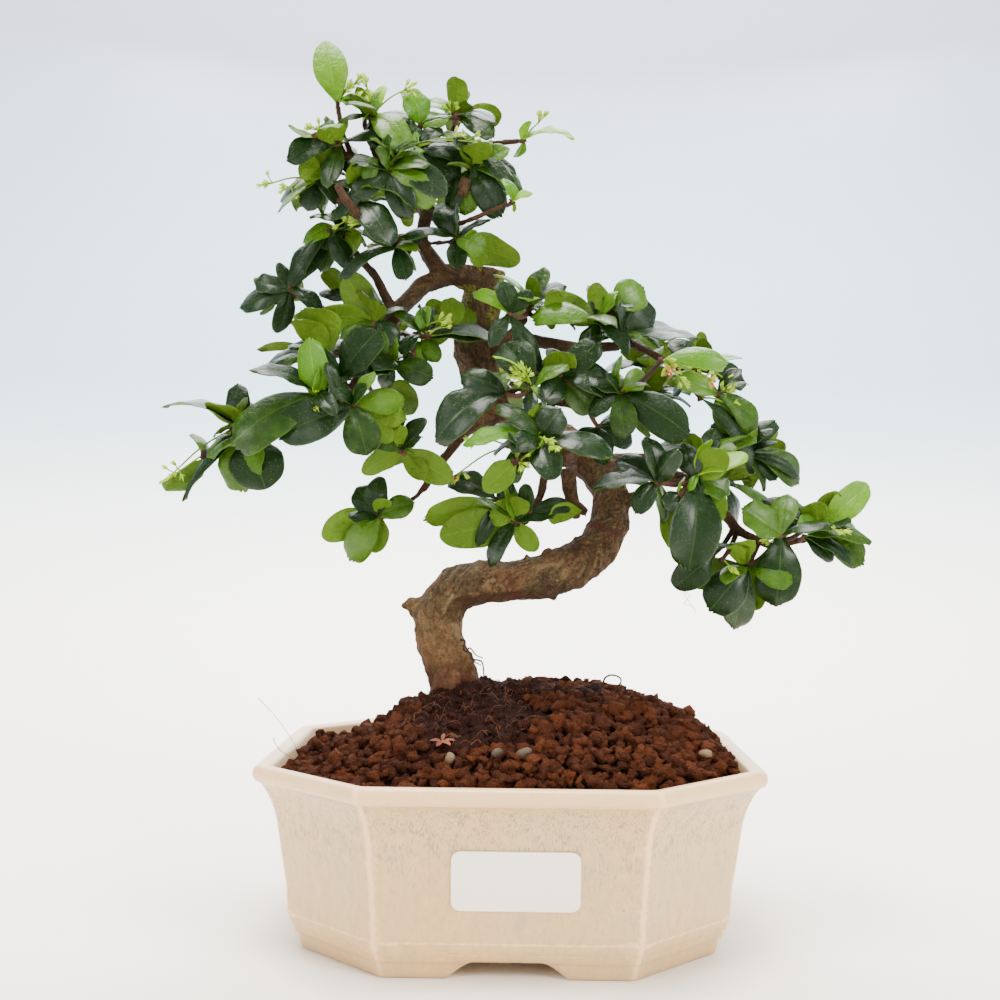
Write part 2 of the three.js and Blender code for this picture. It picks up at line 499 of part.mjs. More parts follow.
function makeSoil() {
  const random = randomFrom(11);
  const rings = [];
  const walls = INNER_WALL.slice(1).reverse();
  for (const [inset, z] of walls.slice(0, -1)) {
    const height = z === FLOOR_TOP ? z + GAP : z;
    rings.push(ringAt(inset + GAP + 0.05, () => height));
  }
  for (let k = 0; k < SOIL_RINGS; k += 1) {
    const share = 1 - (k / SOIL_RINGS) ** 0.9;
    const inset = POT_HALF - (POT_HALF - SOIL_INSET) * share;
    rings.push(ringAt(inset, (x, y) => {
      const bed = Math.hypot(x - FLOWER_AT[0], y - FLOWER_AT[1]) < FLOWER_BED;
      const calm = k === 0 || bed ? 0 : Math.min(1, Math.hypot(x, y) / RELIEF_FADE);
      const relief = calm * GRAIN_RELIEF * (2 * random() - 1);
      return soilHeight(x, y) + relief;
    }));
  }
  let soil = toSolid(loft(rings, null, [0, 0, soilHeight(0, 0)]));
  const [[x0, y0, z0, r0], ...above] = LIMBS.trunk;
  const seat = [[x0, y0, z0 - GAP, r0], ...above].map(([x, y, z, r]) => [x, y, z, r + SEAT_GAP]);
  soil = soil.subtract(limb(seat, TRUNK_SIDES, TRUNK_STEP, BARK_LUMPS, TRUNK_SEED));
  for (const x of [-DRAIN_X, DRAIN_X]) {
    soil = soil.subtract(toSolid(screenPlate(x, GAP)));
  }
  return mainBody(soil);
}

// Ring of the soil's surface, shrunk towards the middle by its inset
function ringAt(inset, heightAt) {
  const ring = [];
  const scale = (POT_HALF - inset) / (POT_HALF - LIP_INSET);
  for (let i = 0; i < SOIL_STEPS; i += 1) {
    const [px, py] = octagonPoint(LIP_INSET, i / SOIL_STEPS);
    const x = px * scale;
    const y = py * scale;
    ring.push([x, y, heightAt(x, y)]);
  }
  return ring;
}

// Label

function makeLabel() {
  const { width, height, thick, corner, x, z } = LABEL;
  const w = width / 2 - corner;
  const h = height / 2 - corner;
  const shape = new THREE.Shape();
  shape.absarc(w, h, corner, 0, Math.PI / 2);
  shape.absarc(-w, h, corner, Math.PI / 2, Math.PI);
  shape.absarc(-w, -h, corner, Math.PI, 1.5 * Math.PI);
  shape.absarc(w, -h, corner, 1.5 * Math.PI, 2 * Math.PI);
  const plate = new THREE.ExtrudeGeometry(shape, { depth: thick, bevelEnabled: false, curveSegments: 2 });
  // The wall leans out between two of its levels, and the label leans with it
  const [low, high] = [OUTER_WALL[4], OUTER_WALL[5]];
  const lean = Math.atan2(low[0] - high[0], high[1] - low[1]);
  const inset = low[0] + (high[0] - low[0]) * ((z - low[1]) / (high[1] - low[1]));
  const mesh = new THREE.Mesh(plate);
  mesh.rotation.x = Math.PI / 2 + lean;
  mesh.position.set(x, -(POT_HALF - inset) - GAP, z);
  return mesh;
}

// Limbs

// Tube along a smooth route, thinner or thicker as its points say, with the
// slow swellings of old wood
function limb(route, sides, step, lumps = 0, seed = 1) {
  const curve = new THREE.CatmullRomCurve3(route.map(vec), false, 'centripetal');
  const steps = Math.max(1, Math.round(curve.getLength() / step));
  const random = randomFrom(seed);
  const frames = curve.computeFrenetFrames(steps, false);
  const phase = [random(), random(), random()].map((v) => v * 2 * Math.PI);
  const rings = [];
  for (let k = 0; k <= steps; k += 1) {
    const centre = curve.getPointAt(k / steps);
    const along = curve.getUtoTmapping(k / steps) * (route.length - 1);
    const lower = Math.min(Math.floor(along), route.length - 2);
    const mix = along - lower;
    const radius = route[lower][3] * (1 - mix) + route[lower + 1][3] * mix;
    const ring = [];
    for (let i = 0; i < sides; i += 1) {
      const angle = (i / sides) * 2 * Math.PI;
      const swell = Math.sin(2 * angle + phase[0] + k * 0.5) + Math.sin(3 * angle + phase[1] - k * 0.7)
        + Math.sin(k * 1.1 + phase[2]);
      const r = radius * (1 + lumps * swell);
      const p = centre.clone();
      p.addScaledVector(frames.normals[k], r * Math.cos(angle));
      p.addScaledVector(frames.binormals[k], r * Math.sin(angle));
      ring.push(p.toArray());
    }
    rings.push(ring);
  }
  return toSolid(loft(rings));
}

function stub({ at, along, radius, length }) {
  const direction = vec(along).normalize();
  const start = vec(at).addScaledVector(direction, -length);
  const end = vec(at).addScaledVector(direction, length * 0.5);
  const route = [[...start.toArray(), radius * 1.5], [...vec(at).toArray(), radius * 1.1],
    [...end.toArray(), radius * 0.75]];
  return limb(route, LIMB_SIDES, length * 0.75);
}

// Nearest place on a limb's route, as [point, radius]
function nearestOn(route, target) {
  let best = null;
  for (let k = 0; k + 1 < route.length; k += 1) {
    const a = vec(route[k]);
    const b = vec(route[k + 1]);
    const span = b.clone().sub(a);
    const t = THREE.MathUtils.clamp(target.clone().sub(a).dot(span) / span.lengthSq(), 0, 1);
    const point = a.addScaledVector(span, t);
    const distance = point.distanceTo(target);
    if (!best || distance < best.distance) best = { point, distance };
  }
  return best.point;
}

// Twig from its limb to just short of the core that it carries
function twig(spray) {
  const target = vec(spray.at);
  const start = nearestOn(LIMBS[spray.on], spray.via ? vec(spray.via) : target);
  const middle = spray.via ? vec(spray.via) : start.clone().lerp(target, 0.55);
  if (!spray.via) middle.z -= start.distanceTo(target) * 0.12;
  const approach = target.clone().sub(middle).normalize();
  const end = target.clone().addScaledVector(approach, -(CORE_RADIUS + GAP));
  const route = [start, middle, end].map((p) => [...p.toArray(), TWIG_RADIUS]);
  return limb(route, TWIG_SIDES, TWIG_STEP);
}

// Leaves

// Half of a leaf's outline as [share of length, share of half width], from
// the stalk to the tip: notched before the tip, or plain
const TOOTHED = [[0.32, 0.6], [0.64, 1], [0.92, 0.74], [0.9, 0.38]];
const PLAIN = [[0.32, 0.6], [0.64, 1], [0.9, 0.68]];
const RIB_PLACE = 0.45;

function directionOf(angle, lean) {
  const a = THREE.MathUtils.degToRad(angle);
  const f = THREE.MathUtils.degToRad(lean);
  return new THREE.Vector3(Math.cos(a) * Math.cos(f), -Math.sin(f), Math.sin(a) * Math.cos(f));
}

function leafFrame(leaf) {
  const along = leaf.along.clone().normalize();
  let normal = vec(leaf.facing);
  normal.addScaledVector(along, -normal.dot(along));
  if (normal.length() < 0.2) normal = new THREE.Vector3(0, -1, 0.2).cross(along);
  normal.normalize();
  return { along, normal, across: along.clone().cross(normal) };
}

// Arched blade with sharp edges and a thicker rib, both faces split alike.
// A guard is the same blade, a little larger and without its stalk.
function blade(root, leaf, { thick = LEAF_THICK, grow = 1, from = 0 } = {}) {
  const { along, normal, across } = leafFrame(leaf);
  const outline = leaf.plain ? PLAIN : TOOTHED;
  const half = (leaf.width / 2) * grow;
  const at = (s, w, lift) => {
    const share = from + (1 - from) * s;
    const p = root.clone();
    p.addScaledVector(along, leaf.length * share);
    p.addScaledVector(across, half * w);
    const rise = LEAF_ARCH * leaf.length * 4 * share * (1 - share);
    p.addScaledVector(normal, rise - LEAF_CUP * half * Math.abs(w) + lift);
    return p.toArray();
  };
  const edge = [[0, 0], ...outline, [1, 0], ...[...outline].reverse().map(([s, w]) => [s, -w])];
  const points = edge.map(([s, w]) => at(s, w, 0));
  const faces = [];
  for (const lift of [thick / 2, -thick / 2]) {
    const rib = points.push(at(RIB_PLACE, 0, lift)) - 1;
    edge.forEach((unused, k) => {
      const next = (k + 1) % edge.length;
      faces.push(lift > 0 ? [k, next, rib] : [next, k, rib]);
    });
  }
  return toSolid(geometryOf(points, faces));
}

// Everything placed so far, as { solid, box, node }
const placed = [];

function place(solid, node) {
  placed.push({ solid, box: solid.boundingBox(), node });
}

function boxesMeet(a, b, margin) {
  return [0, 1, 2].every((i) => a.min[i] - margin < b.max[i] && b.min[i] - margin < a.max[i]);
}

function crosses(a, b) {
  const common = a.intersect(b);
  const hit = !common.isEmpty() && common.volume() > 1e-5;
  common.delete();
  return hit;
}

function isClear(solid, test) {
  const box = solid.boundingBox();
  return !placed.some((other) => test(other) && boxesMeet(box, other.box, BOX_MARGIN)
    && crosses(solid, other.solid));
}

// Turn a leaf in widening steps until nothing crosses it, then keep it
function growLeaf(root, leaf, node, random, guards) {
  for (let k = 0; k < TURNS; k += 1) {
    const reach = k === 0 ? 0 : FIRST_TURN + MORE_TURN * k;
    const turned = { ...leaf };
    turned.along = leaf.along.clone().normalize();
    turned.along.x += reach * (2 * random() - 1);
    turned.along.y += reach * (2 * random() - 1);
    turned.along.z += reach * (2 * random() - 1);
    turned.along.normalize();
    if (k > FULL_TRIES) turned.length = leaf.length * SHORTER;
    const start = root.clone().addScaledVector(turned.along, -ROOT_DEPTH);
    const solid = blade(start, turned);
    const guard = blade(start, turned, GUARD);
    const hitsOwn = guards.some((g) => crosses(guard, g));
    const others = (other) => other.node !== node;
    if (!hitsOwn && isClear(guard, others) && isClear(solid, others)) {
      guards.push(guard);
      place(solid, node);
      return solid;
    }
    solid.delete();
    guard.delete();
  }
  return null;
}

function coreAt(place3, radius) {
  const ball = new THREE.OctahedronGeometry(radius, 0);
  ball.translate(place3[0], place3[1], place3[2]);
  return toSolid(ball);
}

// A leaf that faces up is seen at a slant, so it is wider than its listed width
function toLeaf([angle, lean, length, width, facing = UP], young = false) {
  const fullness = young ? YOUNG_FULLNESS : LEAF_FULLNESS;
  const trueWidth = Math.max(width, fullness * length);
  const plain = young || facing === BACK;
  return { along: directionOf(angle, lean), length, width: trueWidth, facing, plain };
}

// Flower stalk that swells into a bud at its end, with a side bud before it
function budBunch(start, end, random) {
  const a = vec(start);
  const b = vec(end);
  const length = a.distanceTo(b);
  const lift = [0, 0.1, 0.05, 0].map((v) => v * length);
  const shares = [0, 1 - BUD_LENGTH / length, 1 - 0.55 * (BUD_LENGTH / length), 1];
  const radii = [STALK_RADIUS, STALK_RADIUS, BUD_RADIUS, BUD_TIP];
  const route = shares.map((share, k) => {
    const p = a.clone().lerp(b, share);
    return [p.x, p.y, p.z + lift[k], radii[k]];
  });
  const solids = [straightTube(route)];
  const outward = b.clone().sub(a).normalize();
  const along = outward.clone().multiplyScalar(0.5);
  along.x += 0.7 * (random() - 0.5);
  along.y -= 0.6 * random();
  along.z += (random() < 0.5 ? -1 : 1) * 0.9;
  const root = vec(route[1]).addScaledVector(outward, -2);
  solids.push(spindle(root, along.normalize(), BUD_LENGTH, BUD_RADIUS));
  return solids;
}

// Three sided tube straight from point to point
function straightTube(route) {
  const along = vec(route[route.length - 1]).sub(vec(route[0])).normalize();
  const side = SIDE_HINT.clone().cross(along).normalize();
  const other = along.clone().cross(side);
  const rings = route.map(([x, y, z, radius]) => [0, 1, 2].map((k) => {
    const angle = (k / 3) * 2 * Math.PI;
    const p = new THREE.Vector3(x, y, z);
    p.addScaledVector(side, radius * Math.cos(angle));
    return p.addScaledVector(other, radius * Math.sin(angle)).toArray();
  }));
  return toSolid(loft(rings));
}

// Four sided bud, pointed at both ends
function spindle(base, along, length, radius) {
  const side = SIDE_HINT.clone().cross(along).normalize();
  const other = along.clone().cross(side);
  const ring = [[1, 0], [0, 1], [-1, 0], [0, -1]].map(([u, v]) => {
    const p = base.clone().addScaledVector(along, length * 0.45);
    return p.addScaledVector(side, radius * u).addScaledVector(other, radius * v).toArray();
  });
  const tip = base.clone().addScaledVector(along, length).toArray();
  return toSolid(loft([ring], base.toArray(), tip));
}

// Assembly

const bonsai = new THREE.Group();
bonsai.name = 'bonsai';

function add(name, geometry, colour) {
  const material = new THREE.MeshStandardMaterial({ metalness: 0, ...COLOURS[colour] });
  const mesh = new THREE.Mesh(geometry, material);
  mesh.name = name;
  bonsai.add(mesh);
  return mesh;
}

add('pot', toGeometry(makePot()), 'glaze');
add('drain_screen_left', toGeometry(makeScreen(-DRAIN_X)), 'mesh');
add('drain_screen_right', toGeometry(makeScreen(DRAIN_X)), 'mesh');
const soil = makeSoil();
add('soil', toGeometry(soil), 'soil');
place(soil, 'soil');

const label = makeLabel();
const labelMesh = add('label', label.geometry, 'paper');
labelMesh.position.copy(label.position);
labelMesh.rotation.copy(label.rotation);

// Fallen flower: a five pointed star, lying on the soil
function makeFlower() {
  const z = soilHeight(FLOWER_AT[0], FLOWER_AT[1]) + FLOWER_THICK / 2 + GAP;
  const star = [];
  for (let k = 0; k < 10; k += 1) {
    const angle = (k / 10) * 2 * Math.PI + 0.3;
    const reach = k % 2 ? FLOWER_HEART : FLOWER_RADIUS;
    const x = FLOWER_AT[0] + reach * Math.cos(angle);
    const y = FLOWER_AT[1] + reach * Math.sin(angle);
    const slope = soilHeight(x, y) - soilHeight(FLOWER_AT[0], FLOWER_AT[1]);
    star.push([x, y, z + slope + FLOWER_CURL]);
  }
  const middle = [FLOWER_AT[0], FLOWER_AT[1]];
  return loft([star], [...middle, z - FLOWER_THICK / 2], [...middle, z + FLOWER_THICK / 2 + 0.6]);
}
add('fallen_flower', makeFlower(), 'petal');

// Wood is one piece: trunk, limbs, stubs and twigs grown together
const woodParts = [];
Object.entries(LIMBS).forEach(([name, route], index) => {
  const isTrunk = name === 'trunk';
  const [sides, step] = isTrunk ? [TRUNK_SIDES, TRUNK_STEP] : [LIMB_SIDES, LIMB_STEP];
  woodParts.push(limb(route, sides, step, BARK_LUMPS, TRUNK_SEED + index));
});
STUBS.forEach((item) => woodParts.push(stub(item)));
SPRAYS.forEach((spray) => woodParts.push(twig(spray)));
woodParts.forEach((part) => place(part, 'trunk'));

// Cores stand first, so that nothing grows through them
const nodes = new Map();
function nodeOf(name) {
  const seed = 100 + nodes.size;
  if (!nodes.has(name)) nodes.set(name, { solids: [], guards: [], random: randomFrom(seed) });
  return nodes.get(name);
}
function keep(name, solid) {
  nodeOf(name).solids.push(solid);
  place(solid, name);
}
for (const spray of SPRAYS) {
  const name = `leaves_${spray.name}`;
  keep(name, coreAt(spray.at, CORE_RADIUS));
  if (spray.link) {
    keep(name, coreAt(spray.link, CORE_RADIUS));
    const a = vec(spray.at);
    const b = vec(spray.link);
    const middle = a.clone().lerp(b, 0.5);
    middle.z -= LINK_SAG;
    keep(name, limb([a, middle, b].map((p) => [...p.toArray(), TWIG_RADIUS]), TWIG_SIDES, TWIG_STEP));
  }
}

// Seat a shoot's small core against its rosette's, on the side it grows to
function seatShoot(shoot) {
  if (!shoot.by) return shoot.at;
  const spray = SPRAYS.find((item) => item.name === shoot.by);
  const aim = new THREE.Vector3(0, -0.6, 0.5);
  if (shoot.leaves.length) aim.add(directionOf(shoot.leaves[0][0], shoot.leaves[0][1]));
  else aim.add(vec(shoot.buds[0]).sub(vec(spray.at)).normalize());
  aim.normalize();
  // Two cores of the same turn meet where these distances add up to their radii
  const spread = Math.abs(aim.x) + Math.abs(aim.y) + Math.abs(aim.z);
  const reach = (CORE_RADIUS + SHOOT_CORE) / spread + 1.5 * GAP;
  return vec(spray.at).addScaledVector(aim, reach).toArray();
}

for (const shoot of SHOOTS) {
  const name = `shoot_${shoot.name}`;
  const node = nodeOf(name);
  const seat = seatShoot(shoot);
  keep(name, coreAt(seat, shoot.by ? SHOOT_CORE : TIP_CORE));
  for (const entry of shoot.leaves) {
    const solid = growLeaf(vec(seat), toLeaf(entry, true), name, node.random, node.guards);
    if (solid) node.solids.push(solid);
  }
  for (const end of shoot.buds) {
    for (let k = 0; k < TURNS; k += 1) {
      const reach = k * BUD_SHIFT;
      const target = end.map((v) => v + reach * (2 * node.random() - 1));
      const bunch = fuse(budBunch(seat, target, node.random));
      if (isClear(bunch, (other) => other.node !== name)) {
        keep(name, bunch);
        break;
      }
    }
  }
}

// Leaves that the photograph shows, then the seeded ones between and behind
for (const spray of SPRAYS) {
  const name = `leaves_${spray.name}`;
  const node = nodeOf(name);
  const groups = [[spray.at, spray.leaves], [spray.link, spray.linked ?? []]];
  for (const [root, leaves] of groups) {
    for (const entry of leaves) {
      const solid = growLeaf(vec(root), toLeaf(entry), name, node.random, node.guards);
      if (solid) node.solids.push(solid);
    }
  }
}
for (const spray of SPRAYS) {
  const name = `leaves_${spray.name}`;
  const node = nodeOf(name);
  for (let k = 0; k < spray.more; k += 1) {
    const root = spray.link && k % 2 ? spray.link : spray.at;
    const turn = THREE.MathUtils.degToRad(k * GOLDEN_TURN + 90 + 40 * node.random());
    const rise = THREE.MathUtils.degToRad(-15 + 65 * node.random());
    const leaf = {
      along: new THREE.Vector3(
        Math.cos(turn) * Math.cos(rise), Math.sin(turn) * Math.cos(rise), Math.sin(rise)),
      length: 17 + 7 * node.random(),
      width: 10.5 + 3 * node.random(),
      facing: [0, 0, 1],
      plain: true,
    };
    const solid = growLeaf(vec(root), leaf, name, node.random, node.guards);
    if (solid) node.solids.push(solid);
  }
}

add('trunk', toGeometry(mainBody(fuse(woodParts))), 'bark');
for (const [name, node] of nodes) {
  const colour = name.startsWith('shoot') ? 'young' : 'leaf';
  add(name, toGeometry(mainBody(fuse(node.solids))), colour);
}

// Stand the middle of the whole on the origin
bonsai.updateMatrixWorld(true);
const box = new THREE.Box3().setFromObject(bonsai);
bonsai.position.set(-(box.min.x + box.max.x) / 2, -(box.min.y + box.max.y) / 2, -box.min.z);

export default bonsai;
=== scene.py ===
# A fukien tea bonsai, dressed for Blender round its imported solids.
# Tables and shapes are in millimetres from the middle of the pot's foot, with
# +Z up and the viewer looking along +Y. Blender's own places are in metres.
import heapq
import itertools
import math
import random

import bmesh
import bpy
import numpy as np
from mathutils import Matrix, Vector, noise
from mathutils.bvhtree import BVHTree


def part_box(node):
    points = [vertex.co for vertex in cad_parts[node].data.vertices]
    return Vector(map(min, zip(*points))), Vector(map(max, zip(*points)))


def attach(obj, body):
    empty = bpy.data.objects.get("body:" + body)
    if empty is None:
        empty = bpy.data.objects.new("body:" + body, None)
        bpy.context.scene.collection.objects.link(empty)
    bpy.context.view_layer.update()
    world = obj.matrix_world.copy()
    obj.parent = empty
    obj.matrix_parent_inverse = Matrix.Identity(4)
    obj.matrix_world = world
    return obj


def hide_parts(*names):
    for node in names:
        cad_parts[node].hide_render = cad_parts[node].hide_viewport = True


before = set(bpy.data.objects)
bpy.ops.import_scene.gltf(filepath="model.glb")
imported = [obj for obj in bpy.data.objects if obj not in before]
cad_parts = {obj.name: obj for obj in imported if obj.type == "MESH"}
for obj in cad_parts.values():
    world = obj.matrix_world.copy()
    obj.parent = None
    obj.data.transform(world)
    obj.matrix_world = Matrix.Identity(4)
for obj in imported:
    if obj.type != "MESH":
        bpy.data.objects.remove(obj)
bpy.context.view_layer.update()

MM = 0.001
POT_LOW, POT_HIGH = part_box("pot")
MIDDLE_X = (POT_LOW.x + POT_HIGH.x) / 2

# Pot
POT_HALF = 90.0
POT_CORNER = 49.0
FOOT_HEIGHT = 6.0
FLOOR_TOP = 16.0
ARCH_BOTTOM = 20.0
ARCH_TOP = 9.7
ARCH_SHOULDER = (15.6, 3.6)
FOOT_BAND_TOP = 6.4

# Leaf solids in the frame, as shares of length and half width
LEAF_ARCH = 0.09
LEAF_CUP = 0.16
FIRST_STATION = (0.32, 0.6)
WIDEST_STATION = (0.64, 1.0)
ROOT_DEPTH = 1.0
KNIFE_ANGLE = math.radians(128)

# Camera, from the photograph
FOCAL_PX = 1308.6
IMAGE_PX = 1000
SENSOR = 36.0
CLIP = (0.01, 20)
EYE = (2.612, -507.085, 143.664)
YAW, PITCH, ROLL = (math.radians(a) for a in (-0.858, -1.837, 0.568))


def metres(points):
    """Points in millimetres from the pot's middle, in the frame's metres."""
    moved = np.asarray(points, float) * MM
    moved[..., 0] += MIDDLE_X
    return moved


def millimetres(point):
    return np.array([point[0] - MIDDLE_X, point[1], point[2]]) / MM


def unit(vector):
    return vector / max(np.linalg.norm(vector), 1e-9)


def squared(vector, along):
    """The part of a vector that is square to a direction, at unit length."""
    return unit(vector - along * vector.dot(along))


def any_way(rng):
    """A direction at random, not yet of unit length."""
    return np.array([rng.gauss(0, 1) for _ in range(3)])


def distances(points, place):
    return np.linalg.norm(points - place, axis=1)


def scaled(colour, share):
    return tuple(share * c for c in colour)


def in_scene(name, data):
    """A new object in the scene."""
    made = bpy.data.objects.new(name, data)
    bpy.context.scene.collection.objects.link(made)
    return made


def eased(value, low, high):
    share = np.clip((value - low) / (high - low), 0, 1)
    return share * share * (3 - 2 * share)


# Camera

def camera_axes():
    forward = Vector((math.sin(YAW) * math.cos(PITCH), math.cos(YAW) * math.cos(PITCH),
                      -math.sin(PITCH)))
    level = Vector((math.cos(YAW), -math.sin(YAW), 0))
    upward = level.cross(forward)
    right = math.cos(ROLL) * level + math.sin(ROLL) * upward
    up = math.cos(ROLL) * upward - math.sin(ROLL) * level
    return right, up, forward


def seen_at(px, py, y):
    """Place in millimetres that the photograph shows at a pixel, at a depth of y."""
    right, up, forward = (np.array(axis) for axis in camera_axes())
    ray = forward + ((px - IMAGE_PX / 2) * right + (IMAGE_PX / 2 - py) * up) / FOCAL_PX
    return np.array(EYE) + ray * ((y - EYE[1]) / ray[1])


def make_camera():
    right, up, forward = camera_axes()
    data = bpy.data.cameras.new("camera")
    data.sensor_width = SENSOR
    data.lens = FOCAL_PX / IMAGE_PX * SENSOR
    data.clip_start, data.clip_end = CLIP
    camera = in_scene("camera", data)
    turn = Matrix((right, up, -forward)).transposed().to_4x4()
    camera.matrix_world = Matrix.Translation(Vector(metres(EYE))) @ turn
    bpy.context.scene.camera = camera


# Shader maths

class Value:
    """A node's output, so that shader maths is written as an expression."""

    def __init__(self, look, socket):
        self.look = look
        self.socket = socket

    def math(self, operation, *others):
        return self.look.math(operation, self, *others)

    def __add__(self, other):
        return self.math("ADD", other)

    def __sub__(self, other):
        return self.math("SUBTRACT", other)

    def __rsub__(self, other):
        return self.look.math("SUBTRACT", other, self)

    def __mul__(self, other):
        return self.math("MULTIPLY", other)

    def __abs__(self):
        return self.math("ABSOLUTE")

    __radd__ = __add__
    __rmul__ = __mul__

    def between(self, low, high):
        """0 below low, 1 above high, and smooth between."""
        return self.look.node("ShaderNodeMapRange", {"interpolation_type": "SMOOTHSTEP"},
                              {0: self, 1: low, 2: high, 3: 0, 4: 1})


class Look:
    """A material's nodes round one Principled shader."""

    def __init__(self, name, **constants):
        self.material = bpy.data.materials.new(name)
        self.material.use_nodes = True
        self.tree = self.material.node_tree
        self.shader = self.tree.nodes["Principled BSDF"]
        for key, value in constants.items():
            self.feed(self.shader.inputs[key.replace("_", " ")], value)

    def feed(self, socket, value):
        if isinstance(value, Value):
            self.tree.links.new(value.socket, socket)
        elif isinstance(value, tuple) and socket.type == "RGBA":
            socket.default_value = (*value, 1)
        else:
            socket.default_value = value

    def node(self, kind, settings=None, sockets=None, output=0):
        made = self.tree.nodes.new(kind)
        for key, value in (settings or {}).items():
            setattr(made, key, value)
        for key, value in (sockets or {}).items():
            self.feed(made.inputs[key], value)
        return Value(self, made.outputs[output])

    def math(self, operation, *values):
        return self.node("ShaderNodeMath", {"operation": operation}, dict(enumerate(values)))

    def surface(self, **inputs):
        for key, value in inputs.items():
            self.feed(self.shader.inputs[key.replace("_", " ")], value)
        return self.material

    def place(self, stretch=(1, 1, 1)):
        """Place on the object in millimetres, stretched along the axes."""
        where = self.node("ShaderNodeTexCoord", output="Object")
        scale = tuple(1000 * s for s in stretch)
        return self.node("ShaderNodeVectorMath", {"operation": "MULTIPLY"}, {0: where, 1: scale})

    def level(self):
        """Height above the table in millimetres."""
        return self.node("ShaderNodeSeparateXYZ", None, {0: self.place()}, 2)

    def grain(self, scale, detail=3.0, rough=0.5, stretch=(1, 1, 1), warp=0.0):
        """Noise about 0.5, with its scale in lumps per millimetre."""
        return self.node("ShaderNodeTexNoise", None, {
            "Vector": self.place(stretch), "Scale": scale, "Detail": detail,
            "Roughness": rough, "Distortion": warp})

    def cells(self, scale):
        """Distance from the middles of scattered cells."""
        return self.node("ShaderNodeTexVoronoi", None, {"Vector": self.place(), "Scale": scale},
                         "Distance")

    def blend(self, share, low, high):
        """Colour low where share is 0 and high where it is 1."""
        return self.node("ShaderNodeMix", {"data_type": "RGBA"}, {0: share, 6: low, 7: high}, 2)

    def coats(self, colour, *coats):
        """A colour with others laid over it in turn, each by its own share."""
        for share, tint in coats:
            colour = self.blend(share, colour, tint)
        return colour

    def number(self, name):
        return self.node("ShaderNodeAttribute", {"attribute_name": name}, output="Fac")

    def three(self, name):
        """The three numbers of a vector attribute."""
        read = self.node("ShaderNodeAttribute", {"attribute_name": name}, output="Vector")
        return [self.node("ShaderNodeSeparateXYZ", None, {0: read}, k) for k in range(3)]

    def bump(self, height, strength=0.5, depth=0.0003):
        return self.node("ShaderNodeBump", None,
                         {"Height": height, "Strength": strength, "Distance": depth})


# Materials

LEAF_DOT = (0.24, 0.28, 0.17)
# Brown of the painted shade high on the trunk
TRUNK_SHADE_BROWN = (0.030, 0.016, 0.008)


def leaf_look(name, dark, light, under, gloss, ribs):
    """Upper side with pale rib, veins and dots, glossy in places, and a duller under side whose
    lighter tones are partly painted light shining through the leaf.
    """
    look = Look(name, Specular_IOR_Level=0.10, Coat_Roughness=0.30)
    across, along, side = look.three("look")
    from_rib = abs(across)
    tone = look.number("tone")
    patch = look.grain(0.25, 1)
    pale = tuple(min(0.8, 1.8 * c + 0.02) for c in light)
    rib = 1 - from_rib.between(0.012, 0.055)
    rise = (along * 6.5 - from_rib * 1.5).math("FRACT")
    vein = (1 - abs(rise - 0.5).between(0.0, 0.10)) * from_rib.between(0.02, 0.12)
    dots = (1 - look.cells(1.1).between(0.10, 0.20)) * patch.between(0.42, 0.6)
    upper = look.coats(
        look.blend((tone + (patch - 0.5) * 0.35).between(0.2, 1), dark, light),
        (rib * ribs + vein * ribs * 0.12, pale),
        (from_rib.between(0.92, 0.99) * 0.15, pale),
        (dots * 0.35, LEAF_DOT))
    # Under side: paler green, its lighter tones partly painted light shining through the thin leaf
    under_colour_and_glow = look.coats(
        look.blend(tone * 0.7 + patch * 0.3, under, scaled(under, 1.9)),
        (rib * 0.35 + vein * 0.1, scaled(under, 2.6)))
    fine = look.grain(1.6, 1, 0.6)
    height = fine * 0.7 + vein * -0.15 + rib * -0.4 + look.grain(0.5, 1) * 1.5
    area = look.grain(0.05, 1)
    rough = side * (0.6 - gloss) + fine * 0.16 + gloss - 0.08
    rough = rough - area.between(0.42, 0.62) * (1 - side) * 0.12
    shine = (area.between(0.40, 0.62) * 0.38 + 0.04) * (1 - side * 0.8)
    return look.surface(Base_Color=look.blend(side, upper, under_colour_and_glow), Roughness=rough,
                        Coat_Weight=shine, Normal=look.bump(height, 0.7, 0.0006))


